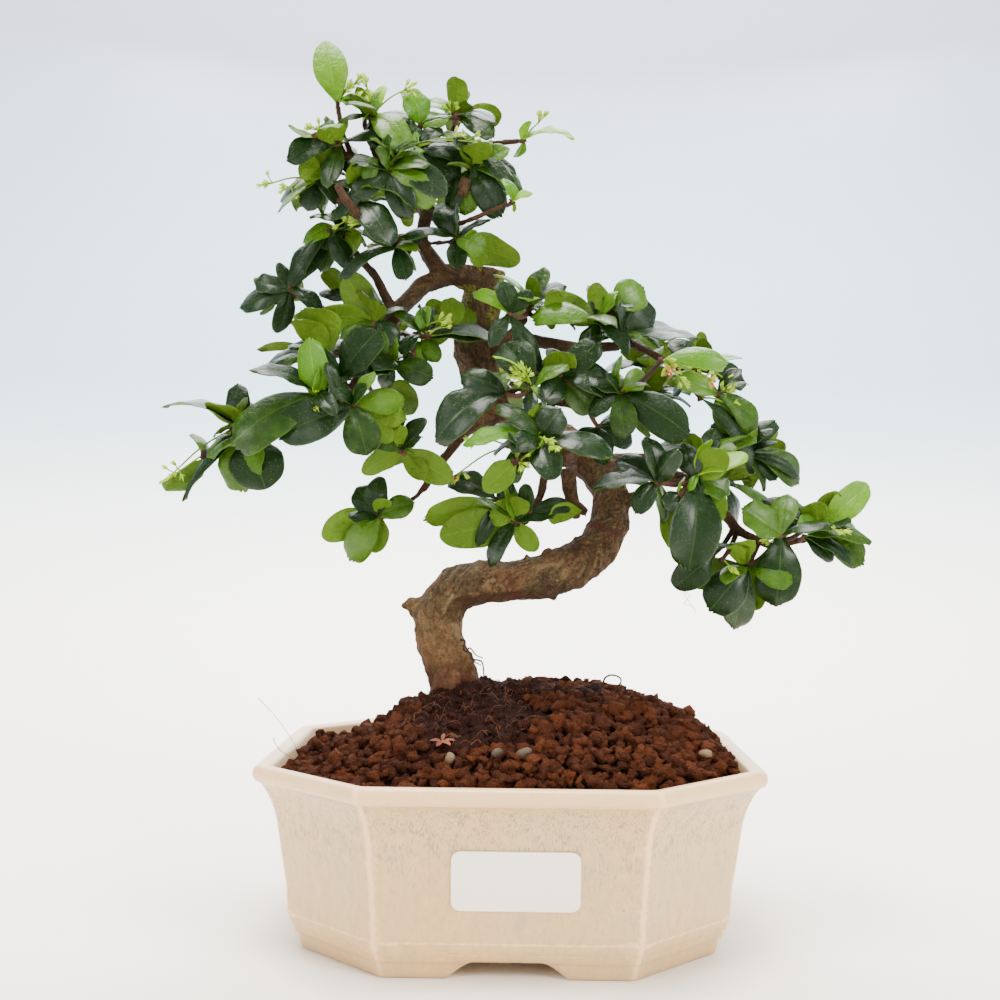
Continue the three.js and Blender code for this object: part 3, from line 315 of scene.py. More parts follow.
def bark_look():
    """Flaking bark on the old wood, smooth on the twigs, with scars, stains and moss, and with
    painted light and shade by height and on the undersides.
    """
    look = Look("bark", Specular_IOR_Level=0.15)
    streak, width, knot_and_underside_shade = look.three("look")
    marks = look.number("tone")
    height = look.level()
    patch = look.grain(0.06, 2, 0.6)
    blotch = look.grain(0.13, 4, 0.75, warp=1.0)
    fine = look.grain(1.1, 2, 0.7)
    speck = look.grain(0.45, 4, 0.75)
    green = look.grain(0.09, 3, 0.7, warp=0.6).between(0.46, 0.60)
    red = look.grain(0.07, 3, 0.6, warp=0.8).between(0.55, 0.66)
    old = look.coats(
        look.blend(patch.between(0.35, 0.65), (0.088, 0.044, 0.018), (0.142, 0.082, 0.036)),
        (green * 0.8, (0.058, 0.046, 0.019)),
        (red * 0.6, (0.080, 0.026, 0.011)),
        (blotch.between(0.51, 0.62) * 0.8, (0.026, 0.016, 0.008)))
    young = look.blend(blotch, (0.045, 0.016, 0.007), (0.085, 0.040, 0.017))
    cracks = (1 - fine.between(0.36, 0.5)) * 0.55 + (1 - speck.between(0.32, 0.46)) * 0.9
    cracks = (cracks + (1 - streak.between(0.22, 0.46)) * 0.5).math("MINIMUM", 0.85)
    pale = look.grain(0.8, 2, 0.7).between(0.58, 0.72) * 0.4 + streak.between(0.60, 0.8) * 0.3
    scar = (0 - marks + (look.grain(0.25, 5, 0.8) - 0.5) * 2.4).between(0.35, 0.95)
    ridge = streak.between(1.0, 1.3) * fine.between(0.3, 0.5)
    stain = 1 - (height + (look.grain(0.15, 4, 0.7) - 0.5) * 30).between(88, 104)
    moss = (marks + (look.grain(0.28, 4, 0.7) - 0.5) * 1.2).between(0.40, 0.66)
    moss_colour = look.blend(look.grain(1.0, 3).between(0.35, 0.65), (0.030, 0.032, 0.004),
                             (0.155, 0.140, 0.020))
    colour = look.coats(
        look.blend(width.between(3.0, 6.0), young, old),
        (cracks, (0.020, 0.010, 0.005)),
        (pale * width.between(4, 8), (0.24, 0.165, 0.085)),
        # Dark knot hollows and rings, and painted shade on the undersides of the limbs
        (knot_and_underside_shade.between(0.15, 0.8) * 0.8, (0.030, 0.014, 0.008)),
        (scar * 0.65, (0.055, 0.013, 0.007)),
        # Painted light low on the trunk, and painted shade in two bands higher up
        ((1 - height.between(95, 128)) * 0.3, (0.230, 0.120, 0.052)),
        (height.between(112, 150) * 0.22, TRUNK_SHADE_BROWN),
        (height.between(190, 225) * 0.3, TRUNK_SHADE_BROWN),
        (ridge * 0.7, (0.165, 0.125, 0.070)),
        (stain * 0.9, (0.048, 0.0140, 0.0062)),
        (moss * 0.9, moss_colour))
    relief = streak * 0.6 + fine * 0.9 + speck * 1.1
    return look.surface(Base_Color=colour, Roughness=speck * 0.25 + 0.66,
                        Normal=look.bump(relief, 0.95, 0.0011))


def glaze_look():
    """Cream glaze with brown streaks and flecks, thin and warm on the edges."""
    look = Look("glaze", Coat_Roughness=0.18, Specular_IOR_Level=0.35)
    corner, height, inside = look.three("look")
    outside = 1 - inside
    wash = look.grain(0.03, 1, 0.55, stretch=(1, 1, 0.7)).between(0.35, 0.65)
    mottle = look.grain(0.35, 3, 0.6, stretch=(1, 1, 0.45))
    flecks = look.grain(1.0, 2, 0.7, stretch=(1, 1, 0.5)).between(0.50, 0.68)
    zone = height.between(0.35, 0.80) * 0.75 + 0.25
    zone = zone * height.between(0.10, 0.2) * (1 - height.between(0.88, 0.92)) * outside
    streaks = look.grain(2.2, 2, 0.5, stretch=(1, 1, 0.14)) * 0.7 + look.grain(0.25, 1) * 0.3
    thin = (corner + (look.grain(0.6, 1) - 0.5) * 0.5).between(0.45, 0.9)
    foot = 1 - (height + (look.grain(0.1, 1) - 0.5) * 0.06).between(0.02, 0.13)
    speck = (1 - look.cells(0.16).between(0.028, 0.05)) * look.grain(0.05, 0).between(0.45, 0.6)
    dust = 1 - look.cells(0.55).between(0.07, 0.14)
    band = height.between(0.80, 0.86) * (1 - height.between(0.91, 0.94))
    colour = look.coats(
        look.blend(wash, (0.63, 0.390, 0.150), (0.56, 0.385, 0.180)),
        (mottle.between(0.5, 0.75) * 0.6, (0.42, 0.32, 0.195)),
        (mottle.between(0.5, 0.25) * 0.5, (0.72, 0.46, 0.205)),
        (flecks * 0.35, (0.36, 0.29, 0.18)),
        ((streaks + zone * 0.06).between(0.55, 0.68) * zone * 0.85, (0.235, 0.185, 0.125)),
        (height.between(0.905, 0.93) * outside * 0.6, (0.86, 0.54, 0.27)),
        (inside * 0.8, (0.36, 0.235, 0.125)),
        (thin * 0.85, (0.93, 0.59, 0.31)),
        (foot * 0.45, (0.46, 0.30, 0.15)),
        (speck, (0.08, 0.04, 0.02)),
        (dust * (band * 0.85 + 0.08), (0.16, 0.075, 0.035)))
    relief = look.grain(0.12, 0) * 1.2 + look.grain(0.8, 1, stretch=(1, 1, 0.3)) * 0.4
    return look.surface(Base_Color=colour, Roughness=mottle * 0.22 + 0.28, Coat_Weight=0.3,
                        Normal=look.bump(relief, 0.35, 0.0006))


def grain_look(name, dark, light, warm):
    """Fired clay or peat: most of it dull, a little of it warm."""
    look = Look(name, Specular_IOR_Level=0.1)
    tone = look.number("tone")
    fine = look.grain(1.3, 3, 0.75)
    pits = 1 - look.cells(1.1).between(0.08, 0.34)
    crumbs = look.grain(2.4, 2, 0.6).between(0.56, 0.70)
    colour = look.coats(
        look.blend((tone * 0.9 + fine * 0.8 - 0.4).between(0, 1), dark, light),
        (tone.between(0.90, 0.97) * 0.8, warm),
        (pits * 0.65, scaled(dark, 0.4)),
        (crumbs * 0.5, scaled(warm, 1.5)))
    return look.surface(Base_Color=colour, Roughness=fine * 0.15 + 0.8,
                        Normal=look.bump(fine * 2.2, 1.0, 0.0015))


def plain_look(name, low, high, scale=0.8, rough=0.7, relief=0.4, depth=0.0003):
    """Two colours mottled together, with a little relief."""
    look = Look(name, Specular_IOR_Level=0.25)
    tone = look.number("tone")
    mottle = look.grain(scale, 4, 0.6)
    colour = look.blend((mottle * 0.7 + tone * 0.6 - 0.15).between(0.1, 0.9), low, high)
    return look.surface(Base_Color=colour, Roughness=mottle * 0.2 + rough - 0.1,
                        Normal=look.bump(mottle + look.grain(scale * 4, 2) * 0.4, relief, depth))


LOOKS = {
    "leaf": leaf_look("grown_leaf", (0.0032, 0.0150, 0.0008), (0.052, 0.124, 0.004),
                      (0.052, 0.098, 0.006), 0.36, 0.10),
    "young": leaf_look("young_leaf", (0.050, 0.145, 0.003), (0.150, 0.290, 0.006),
                       (0.095, 0.215, 0.005), 0.34, 0.22),
    "bark": bark_look(),
    "glaze": glaze_look(),
    "grain": grain_look("clay_grain", (0.050, 0.0138, 0.0054), (0.116, 0.0315, 0.0108),
                        (0.130, 0.037, 0.012)),
    "peat": grain_look("peat", (0.009, 0.0020, 0.0010), (0.052, 0.0108, 0.0036),
                       (0.085, 0.021, 0.007)),
    "shoot": plain_look("short_shoot", (0.016, 0.006, 0.003), (0.085, 0.034, 0.015), 1.1, 0.75,
                        0.9),
    "stalk": plain_look("green_stalk", (0.09, 0.16, 0.006), (0.18, 0.27, 0.014), 0.7, 0.55),
    "bud": plain_look("bud", (0.20, 0.34, 0.008), (0.44, 0.58, 0.045), 0.9, 0.5),
    "petal": plain_look("dry_petal", (0.085, 0.020, 0.009), (0.23, 0.062, 0.028), 0.6, 0.6),
    "faded": plain_look("faded_petal", (0.17, 0.022, 0.005), (0.44, 0.095, 0.022), 0.6, 0.6),
    "root": plain_look("fine_root", (0.012, 0.005, 0.003), (0.060, 0.025, 0.012), 0.3, 0.8),
    "hair": plain_look("root_hair", (0.04, 0.012, 0.005), (0.16, 0.058, 0.024), 0.3, 0.8),
    "pebble": plain_look("pebble", (0.040, 0.030, 0.022), (0.155, 0.098, 0.050), 0.5, 0.75, 0.8),
    "paper": plain_look("paper", (0.95, 0.85, 0.72), (0.97, 0.89, 0.79), 2.0, 0.45, 0.05),
    "mesh": plain_look("plastic_mesh", (0.02, 0.02, 0.02), (0.05, 0.05, 0.05), 1.0, 0.6, 0.2),
}


# Mesh making

class Shape:
    """Points and faces of a piece while it is made, with numbers for its material."""

    def __init__(self):
        self.points = []
        self.faces = []
        self.slots = []
        self.looks = []
        self.tones = []
        self.count = 0

    def add(self, points, faces, slot=0, look=(0, 0, 0), tone=0.5):
        points = np.asarray(points, float)
        self.points.append(points)
        self.faces += [[k + self.count for k in face] for face in faces]
        self.slots += [slot] * len(faces)
        self.looks.append(np.broadcast_to(look, (len(points), 3)))
        self.tones.append(np.broadcast_to(tone, len(points)))
        self.count += len(points)

    def twig(self, route, first, last, steps, slot, tone, sides=7):
        """Smooth tube through a few places, from one radius to another. Gives its route."""
        route = curve(route, steps)
        self.add(*tube(route, np.linspace(first, last, steps), sides), slot, tone=tone)
        return route

    def piece(self, name, looks, slot, *replaced):
        mesh = bpy.data.meshes.new(name)
        mesh.from_pydata(metres(np.concatenate(self.points)).tolist(), [], self.faces)
        for look in looks:
            mesh.materials.append(LOOKS[look])
        mesh.polygons.foreach_set("material_index", self.slots)
        mesh.polygons.foreach_set("use_smooth", [True] * len(self.faces))
        numbers(mesh, np.concatenate(self.looks), np.concatenate(self.tones))
        return ridden(name, mesh, slot, *replaced)


def numbers(mesh, looks, tones):
    """Write a mesh's two attributes: three numbers, and one."""
    attribute = mesh.attributes.new("look", "FLOAT_VECTOR", "POINT")
    attribute.data.foreach_set("vector", np.ascontiguousarray(looks, np.float32).ravel())
    attribute = mesh.attributes.new("tone", "FLOAT", "POINT")
    attribute.data.foreach_set("value", np.ascontiguousarray(tones, np.float32))


def ridden(name, mesh, slot, *replaced):
    mesh.validate()
    made = in_scene(name, mesh)
    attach(made, "root")
    if replaced:
        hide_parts(*replaced)


def ball(level):
    """Unit icosphere as points and faces."""
    made = bmesh.new()
    bmesh.ops.create_icosphere(made, subdivisions=level, radius=1)
    points = np.array([v.co for v in made.verts])
    faces = [[v.index for v in face.verts] for face in made.faces]
    made.free()
    return points, faces


BALLS = {level: ball(level) for level in (1, 2)}
ANY_TURN = (0, 6.28)


def lump(centre, radii, seed, level=2, rough=0.25, scale=1.4):
    """Uneven ball, turned at random."""
    rng = random.Random(seed)
    points, faces = BALLS[level]
    shift = Vector([rng.uniform(-50, 50) for _ in range(3)])
    reach = np.array([1 + rough * noise.noise(Vector(p) * scale + shift)
                      + 0.4 * rough * noise.noise(Vector(p) * scale * 2.7 + shift)
                      for p in points])
    turn = Matrix.Rotation(rng.uniform(*ANY_TURN), 3, Vector(any_way(rng)))
    shaped = (points * reach[:, None] * np.asarray(radii)) @ np.array(turn).T
    return shaped + np.asarray(centre, float), faces


def ring_faces(rings, count):
    """Faces between rings of count points each, one ring after another."""
    faces = []
    for k in range(rings - 1):
        for i in range(count):
            j = (i + 1) % count
            faces.append([k * count + i, k * count + j, (k + 1) * count + j, (k + 1) * count + i])
    return faces


def capped_faces(rings, count):
    """The same, closed to two points that follow the rings: the first end's, then the last's."""
    faces = ring_faces(rings, count)
    pole = rings * count
    last = pole - count
    for i in range(count):
        j = (i + 1) % count
        faces += [[pole, j, i], [pole + 1, last + i, last + j]]
    return faces


def tube(route, radii, sides=7):
    """Tube along a route, closed with a pole at each end."""
    route = np.asarray(route, float)
    steps = np.gradient(route, axis=0)
    side = unit(np.cross(steps[0], (0.31, 0.87, 0.39)))
    turns = np.arange(sides) * 2 * math.pi / sides
    rings = []
    for point, step, radius in zip(route, steps, radii):
        step = unit(step)
        side = squared(side, step)
        other = np.cross(step, side)
        spokes = np.cos(turns)[:, None] * side + np.sin(turns)[:, None] * other
        rings.append(point + radius * spokes)
    points = np.concatenate([*rings, [route[0], route[-1]]])
    return points, capped_faces(len(route), sides)


def curve(points, count):
    """Smooth route through a few points."""
    points = np.asarray(points, float)
    ends = np.concatenate([[2 * points[0] - points[1]], points, [2 * points[-1] - points[-2]]])
    made = []
    for t in np.linspace(0, len(points) - 1, count):
        k = min(int(t), len(points) - 2)
        f = t - k
        a, b, c, d = ends[k:k + 4]
        made.append(0.5 * (2 * b + (c - a) * f + (2 * a - 5 * b + 4 * c - d) * f * f
                           + (3 * b - a - 3 * c + d) * f ** 3))
    return np.array(made)


# Leaves as the frame has them

STRAIGHT = 0.03                 # bend under which a run goes straight on
UNEVEN = 0.12                   # most that a leaf's two edges differ by
STALK_SPREAD = 0.5              # reach of the three points at a stalk's end
STALK_FROM_CORE = 5


def merged(node):
    made = bmesh.new()
    made.from_mesh(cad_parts[node].data)
    bmesh.ops.remove_doubles(made, verts=made.verts, dist=1e-6)
    return made


def knife_chains(made):
    """Runs of sharp edges, each as a list of places: one run goes round one leaf."""
    links = {}
    for edge in made.edges:
        if len(edge.link_faces) == 2 and edge.is_convex and edge.calc_face_angle() > KNIFE_ANGLE:
            a, b = edge.verts
            links.setdefault(a, []).append(b)
            links.setdefault(b, []).append(a)
    chains = []
    seen = set()
    for start in links:
        if start in seen or len(links[start]) != 1:
            continue
        chain = [start]
        seen.add(start)
        while True:
            onward = [v for v in links[chain[-1]] if v not in seen]
            if len(onward) != 1:
                break
            chain.append(onward[0])
            seen.add(onward[0])
        chains.append(straightened([millimetres(v.co) for v in chain]))
    return chains


def straightened(chain):
    """The run without points that lie on a straight part of it."""
    kept = chain[:1]
    for k in range(1, len(chain) - 1):
        before = unit(chain[k] - kept[-1])
        after = unit(chain[k + 1] - chain[k])
        if np.linalg.norm(np.cross(before, after)) > STRAIGHT:
            kept.append(chain[k])
    return kept + chain[-1:]


def leaf_from(chain):
    """Root, axes and size of the leaf that a run of edges goes round, or None."""
    best = None
    for half in (4, 3):
        for tip in range(half, len(chain) - half):
            error = max(abs(np.linalg.norm(chain[tip] - chain[tip - k])
                            - np.linalg.norm(chain[tip] - chain[tip + k]))
                        for k in range(1, half + 1))
            if best is None or error < best[0] - 0.02:
                best = (error, tip, half)
    if best is None or best[0] > UNEVEN:
        return None
    _, tip, half = best
    end = chain[tip]
    first = (chain[tip - half], chain[tip + half])
    widest = (chain[tip - half + 1], chain[tip + half - 1])
    across = (widest[0] - widest[1]) / 2
    width = np.linalg.norm(across)
    low = (first[0] + first[1]) / 2
    high = (widest[0] + widest[1]) / 2
    (s1, w1), (s2, w2) = FIRST_STATION, WIDEST_STATION
    length = np.linalg.norm(end - low) / (1 - s1)
    rise1 = LEAF_ARCH * length * 4 * s1 * (1 - s1) - LEAF_CUP * width * w1
    rise2 = LEAF_ARCH * length * 4 * s2 * (1 - s2) - LEAF_CUP * width * w2
    normal = (end - high) / (1 - s2) - (end - low) / (1 - s1)
    normal = unit(normal * (rise1 / (1 - s1) - rise2 / (1 - s2)))
    along = (end - low) / (1 - s1) + normal * rise1 / (1 - s1)
    length = np.linalg.norm(along)
    along = along / length
    across = across / width
    if np.cross(along, normal).dot(across) < 0:
        across = -across
    return {"root": end - along * length, "along": along, "across": across,
            "normal": unit(np.cross(across, along)), "length": length, "half": width,
            "notched": half == 4}


def stalk_ends(made, cores):
    """Ends of flower stalks: three points close together, away from the cores."""
    points = np.array([millimetres(v.co) for v in made.verts])
    ends = []
    for point in points:
        near = points[distances(points, point) < STALK_SPREAD]
        if len(near) != 3:
            continue
        middle = near.mean(0)
        if any(np.linalg.norm(middle - core) < STALK_FROM_CORE for core in cores):
            continue
        if all(np.linalg.norm(middle - end) > 1 for end in ends):
            ends.append(middle)
    return points, ends


def gather(places, reach=1.2):
    """Middle of each group of places that lie together."""
    groups = []
    for place in places:
        for group in groups:
            if np.linalg.norm(np.mean(group, axis=0) - place) < reach:
                group.append(place)
                break
        else:
            groups.append([place])
    return [np.mean(group, axis=0) for group in groups]


# Leaves as they are dressed

HALF_COLUMNS = [0.0, 0.15, 0.32, 0.5, 0.68, 0.85, 1.0]
COLUMNS = np.array([-u for u in HALF_COLUMNS[:0:-1]] + HALF_COLUMNS)
ROWS = np.array([0, 0.05, 0.12, 0.2, 0.29, 0.38, 0.48, 0.58, 0.68, 0.77, 0.85, 0.915, 0.965, 1.0])
LAST_WIDTH = 0.42
BLADE = 0.34                    # thickness of a grown leaf
MARGIN = 0.12                   # and of its edge
PETIOLE = 0.8
LARGEST_ROLL = math.radians(30)
LARGEST_TWIST = 0.5
BACK_FROM = 4.0                 # leaves that grow behind this turn to the back
TO_VIEWER = np.array([0.0, -1.0, 0.12])
DIRECTIONS_TRIED = 60
MORE_YOUNG = (0.5, 0.35, 0.6)   # extra leaves per leaf, and their least and most size
MORE_GROWN = (0.7, 0.55, 0.95)
YOUNG_SHOOT, GROWN_SHOOT = 1.3, 1.9
KNOB_SPANS = ((0.65, 0.85), (0.65, 0.85), (0.75, 1.0))
KNOB_STUBS = 7
BUD_PROFILE = ((0.0, 0.35), (0.12, 0.75), (0.3, 0.9), (0.5, 1.0), (0.72, 0.8), (0.9, 0.4),
               (1.0, 0.1))
BUD_LOBES = 4
FORKS = 5
INTO_WOOD = 0.8
# Slots of a spray's materials
LEAF, SHOOT, STALK, BUD, FADED, YOUNG = range(6)
GROWTH_LOOKS = ["shoot", "stalk", "bud", "faded"]


def leaf_faces():
    """Faces of a leaf's upper and under sides, with the edge between them."""
    rows, columns = len(ROWS), len(COLUMNS)
    under = rows * columns
    faces = []
    for i in range(rows - 1):
        for j in range(columns - 1):
            a = i * columns + j
            quad = [a, a + 1, a + columns + 1, a + columns]
            faces.append(quad)
            faces.append([k + under for k in quad[::-1]])
    rim = (list(range(columns))
           + [i * columns + columns - 1 for i in range(1, rows)]
           + [(rows - 1) * columns + j for j in range(columns - 2, -1, -1)]
           + [i * columns for i in range(rows - 2, 0, -1)])
    for a, b in zip(rim, rim[1:] + rim[:1]):
        faces.append([b, a, a + under, b + under])
    return faces


LEAF_FACES = leaf_faces()


def outline(s, widest, power):
    """Half width along a leaf, for a wedge that opens into a round end."""
    wedge = 0.07 + 0.93 * np.sin(math.pi / 2 * np.clip(s / widest, 0, 1) ** 1.2)
    close = (1 - LAST_WIDTH ** power) ** (1 / power)
    cap = (1 - (np.clip((s - widest) / (1 - widest), 0, 1) * close) ** power) ** (1 / power)
    return np.where(s < widest, wedge, cap)


def turned(vector, axis, angle):
    return np.array(Matrix.Rotation(angle, 3, Vector(axis)) @ Vector(vector))


def leaf_at(root, along, normal, length, half, notched):
    return {"root": root, "along": along, "across": np.cross(along, normal), "normal": normal,
            "length": length, "half": half, "notched": notched}


def rolled(leaf, rng):
    """The leaf rolled a little about its rib, so that less of it is seen edge on."""
    view = squared(TO_VIEWER, leaf["along"])
    face = leaf["normal"].dot(view)
    angle = math.copysign(math.acos(min(1, abs(face))), leaf["across"].dot(view) * face)
    angle = max(-LARGEST_ROLL, min(LARGEST_ROLL, angle * rng.uniform(0.1, 0.75)))
    leaf["normal"] = turned(leaf["normal"], leaf["along"], angle)
    leaf["across"] = turned(leaf["across"], leaf["along"], angle)
    return leaf


def grow_leaf(shape, leaf, slot, rng, fold=0.0):
    """A blade with a sunken rib, notches at its tip, an uneven edge and real thickness."""
    length, half = leaf["length"], leaf["half"]
    along, across, normal = leaf["along"], leaf["across"], leaf["normal"]
    s, u = np.meshgrid(ROWS, COLUMNS, indexing="ij")
    power = rng.uniform(2.1, 2.6) if leaf["notched"] else rng.uniform(1.6, 2.1)
    widest = rng.uniform(0.54, 0.64) if leaf["notched"] else rng.uniform(0.44, 0.58)
    width = outline(s, widest, power) * half * rng.uniform(0.86, 1.0)
    depth = rng.uniform(0.015, 0.05) * leaf["notched"]
    notch = depth * sum(np.exp(-((abs(u) - at) / 0.09) ** 2) for at in (0.3, 0.72))
    end = 1 - (0.075 if leaf["notched"] else 0.05) * abs(u) ** 2 - notch
    reach = length * (s - (1 - end) * s ** 9)
    lean = rng.uniform(-0.09, 0.09) * length * s ** 2
    ripple = rng.uniform(0.03, 0.12) * half
    wave = ripple * np.sin(2 * math.pi * (s * rng.uniform(1.2, 2.8) + rng.random())) * u * abs(u)
    rise = rng.uniform(0.7, 1.9) * LEAF_ARCH * length * 4 * s * (1 - s)
    rise -= LEAF_CUP * rng.uniform(0.8, 2.2) * width * abs(u) ** 1.6
    rise += (fold + rng.uniform(-0.1, 0.4)) * width * abs(u)
    rise -= rng.uniform(-0.03, 0.26) * length * s ** 2.2
    groove = 0.2 * np.exp(-(u * width / 0.45) ** 2) * (1 - eased(s, 0.7, 1))
    thick = BLADE + (PETIOLE - BLADE) * (1 - eased(s, 0.0, 0.25)) * (1 - abs(u) * 0.5)
    edge = np.maximum(abs(u) ** 6, eased(s, 0.97, 1.0))
    thick = thick + (MARGIN - thick) * edge * eased(s, 0.1, 0.3)
    twist = rng.uniform(-LARGEST_TWIST, LARGEST_TWIST) * s
    sideways = np.cos(twist)[..., None] * across + np.sin(twist)[..., None] * normal
    upward = np.cos(twist)[..., None] * normal - np.sin(twist)[..., None] * across
    middle = (leaf["root"] + reach[..., None] * along + (width * u + lean)[..., None] * sideways
              + rise[..., None] * normal + wave[..., None] * upward)
    up = middle + (thick / 2 - groove)[..., None] * upward
    down = middle - (thick / 2 + groove * 0.6)[..., None] * upward
    points = np.concatenate([up.reshape(-1, 3), down.reshape(-1, 3)])
    look = np.zeros((len(points), 3))
    look[:, 0] = np.tile(u.ravel(), 2)
    look[:, 1] = np.tile(s.ravel(), 2)
    look[len(points) // 2:, 2] = 1
    shape.add(points, LEAF_FACES, slot, look, leaf.get("tone", rng.random()))


def extra_leaves(leaves, cores, touches, rng, share, low, high):
    """Smaller leaves in the gaps between the frame's own, growing from the same cores."""
    made = []
    for core, touch in zip(cores, touches):
        own = [leaf for leaf in leaves
               if np.linalg.norm(leaf["root"] + leaf["along"] * ROOT_DEPTH - core) < 2.5]
        if not own:
            continue
        taken = [leaf["along"] for leaf in own]
        length = np.mean([leaf["length"] for leaf in own])
        slim = np.mean([leaf["half"] / leaf["length"] for leaf in own])
        away = unit(core - touch)
        for _ in range(max(1, round(share * len(own)))):
            tries = [unit(any_way(rng)) for _ in range(DIRECTIONS_TRIED)]
            tries = [t for t in tries if t.dot(away) > -0.25 and abs(t[1]) < 0.8]
            along = max(tries, key=lambda t: 0.15 * t[2] - max(t.dot(k) for k in taken))
            taken.append(along)
            up = np.array([rng.uniform(-0.5, 0.5), -rng.uniform(-0.1, 1.0), rng.uniform(0.4, 1.0)])
            if core[1] > BACK_FROM:
                up[1] = -up[1]
            size = length * rng.uniform(low, high)
            made.append(leaf_at(core - along * ROOT_DEPTH * 0.5, along, squared(up, along), size,
                                size * slim * rng.uniform(0.85, 1.1), rng.random() < 0.5))
    return made


def grow_knob(shape, core, radius, rng):
    """Short shoot: a knobby lump with a few smaller ones, where old leaves fell."""
    radii = radius * np.array([rng.uniform(*span) for span in KNOB_SPANS])
    shape.add(*lump(core, radii, rng.random(), 2, 0.6, 1.8), SHOOT, tone=rng.random())
    for _ in range(KNOB_STUBS):
        away = unit(any_way(rng))
        scale = radius * rng.uniform(0.22, 0.36)
        stub = [core + away * radius * 0.4, core + away * radius * rng.uniform(0.9, 1.25)]
        shape.add(*tube(stub, (scale, scale * 0.8), 5), SHOOT, tone=rng.random())


def grow_link(shape, core, touch, sag, first, last, steps, rng):
    """Twig from a short shoot into the wood."""
    route = [core, (core + touch) / 2 - (0, 0, sag), touch + unit(touch - core) * INTO_WOOD]
    shape.twig(route, first, last, steps, SHOOT, rng.random())


def grow_bud(shape, base, along, length, radius, rng):
    """Pointed bud whose calyx opens in thin pointed lobes."""
    shape.add(*tube([base + along * length * s for s, _ in BUD_PROFILE],
                    [radius * girth for _, girth in BUD_PROFILE]), BUD, tone=rng.random())
    for _ in range(BUD_LOBES):
        aside = squared(any_way(rng), along)
        foot = base + along * length * 0.25 + aside * radius * 0.6
        tip = base + along * length * rng.uniform(0.75, 1.0)
        tip = tip + aside * radius * rng.uniform(1.4, 2.6)
        shape.add(*tube([foot, (foot + tip) / 2 + aside * 0.1, tip], (0.22, 0.2, 0.05), 5), BUD,
                  tone=rng.random())


def grow_flower(shape, centre, facing, radius, slot, heart, rng):
    """Five petals that curl back, round a small heart."""
    facing = unit(facing)
    side = unit(np.cross(facing, (0.2, 0.5, 0.84)))
    other = np.cross(facing, side)
    for k in range(5):
        angle = k * 2 * math.pi / 5 + rng.uniform(-0.15, 0.15)
        along = unit(math.cos(angle) * side + math.sin(angle) * other + 0.25 * facing)
        across = unit(np.cross(facing, along))
        petal = {"root": centre, "along": along, "across": across,
                 "normal": np.cross(across, along) * -1, "length": radius * rng.uniform(0.85, 1.1),
                 "half": radius * 0.2, "notched": False}
        grow_leaf(shape, petal, slot, rng, 0.1)
    shape.add(*lump(centre, (radius * 0.22,) * 3, rng.random(), 1, 0.3), heart)


def grow_bunch(shape, seat, end, rng, flowers=0):
    """Flower stalk that forks near its end, with a bud or a flower on each fork."""
    span = end - seat
    length = np.linalg.norm(span)
    onward = span / length
    sag = np.array([0, 0, 0.07 * length])
    fork = seat + span * max(0.35, 1 - 6.5 / length)
    stem = shape.twig([seat, seat + 0.5 * (fork - seat) + sag, fork + 0.5 * sag], 0.42, 0.3, 9,
                      STALK, rng.random())
    fork = stem[-1]
    for k in range(FORKS):
        aim = unit(onward + 0.75 * any_way(rng) * (k > 0))
        reach = rng.uniform(0.8, 3.4) if k else np.linalg.norm(end - fork) * 0.5
        tip = fork + aim * reach
        shape.twig([fork - onward * 0.4, fork + aim * reach * 0.5, tip], 0.28, 0.24, 4, STALK,
                   rng.random(), 6)
        if k < flowers:
            grow_flower(shape, tip, aim + np.array([0, -0.6, 0.3]), 3.1, FADED, BUD, rng)
        else:
            grow_bud(shape, tip, aim, rng.uniform(2.2, 3.6), rng.uniform(0.42, 0.66), rng)


def leaf_tone(leaf, rng):
    """Mostly dark leaves, lighter towards the crown and where they grow upwards."""
    lift = 0.10 * eased(leaf["root"][2], 230, 320) + 0.08 * max(0, leaf["along"][2])
    tone = min(1, rng.random() ** 2.1 * 0.95 + lift)
    middle = leaf["root"] + leaf["along"] * leaf["length"] * 0.5
    shaded = any(np.linalg.norm(middle - seen_at(px, py, middle[1])) < 6 for px, py in SHADED)
    return tone * 0.2 if shaded else tone


def nearest_wood(wood, place):
    return millimetres(wood.find_nearest(Vector(metres(place)))[0])


def dress_spray(node, wood):
    """Leaves, short shoots, stalks and buds in place of one packed spray."""
    rng = random.Random(node)
    young = node.startswith("shoot_")
    made = merged(node)
    leaves = [leaf for leaf in map(leaf_from, knife_chains(made)) if leaf]
    cores = gather([leaf["root"] + leaf["along"] * ROOT_DEPTH for leaf in leaves])
    points, ends = stalk_ends(made, cores)
    made.free()
    if not cores:
        far = points[np.argmax(distances(points, ends[0]))]
        cores = [points[distances(points, far) < 2.4].mean(0)]
    touches = [nearest_wood(wood, core) for core in cores]
    shape = Shape()
    radius = YOUNG_SHOOT if young else GROWN_SHOOT
    for core, touch in zip(cores, touches):
        grow_knob(shape, core, radius, rng)
        grow_link(shape, core, touch, 0.2, radius * 0.7, radius * 0.62, 6, rng)
    for a, b in zip(cores, cores[1:]):
        shape.twig([a, (a + b) / 2 - (0, 0, 1.4), b], 1.0, 1.0, 9, SHOOT, rng.random())
    leaves = [rolled(leaf, rng) for leaf in leaves]
    leaves += extra_leaves(leaves, cores, touches, rng, *(MORE_YOUNG if young else MORE_GROWN))
    for leaf in leaves:
        leaf["tone"] = leaf_tone(leaf, rng)
        grow_leaf(shape, leaf, LEAF, rng, 0.12 if young else 0.0)
    for end in ends:
        seat = min(cores, key=lambda core: np.linalg.norm(core - end))
        grow_bunch(shape, seat, end, rng)
    kind = "young" if young else "leaf"
    name = node.replace("leaves_", "spray_").replace("shoot_", "growth_")
    shape.piece(name, [kind, *GROWTH_LOOKS], kind, node)


# Pixels of broad leaves that are deep green, though their neighbours are lighter
SHADED = [(360, 347), (305, 420), (312, 398), (660, 415), (375, 225), (400, 405), (668, 400),
          (700, 520), (640, 320)]
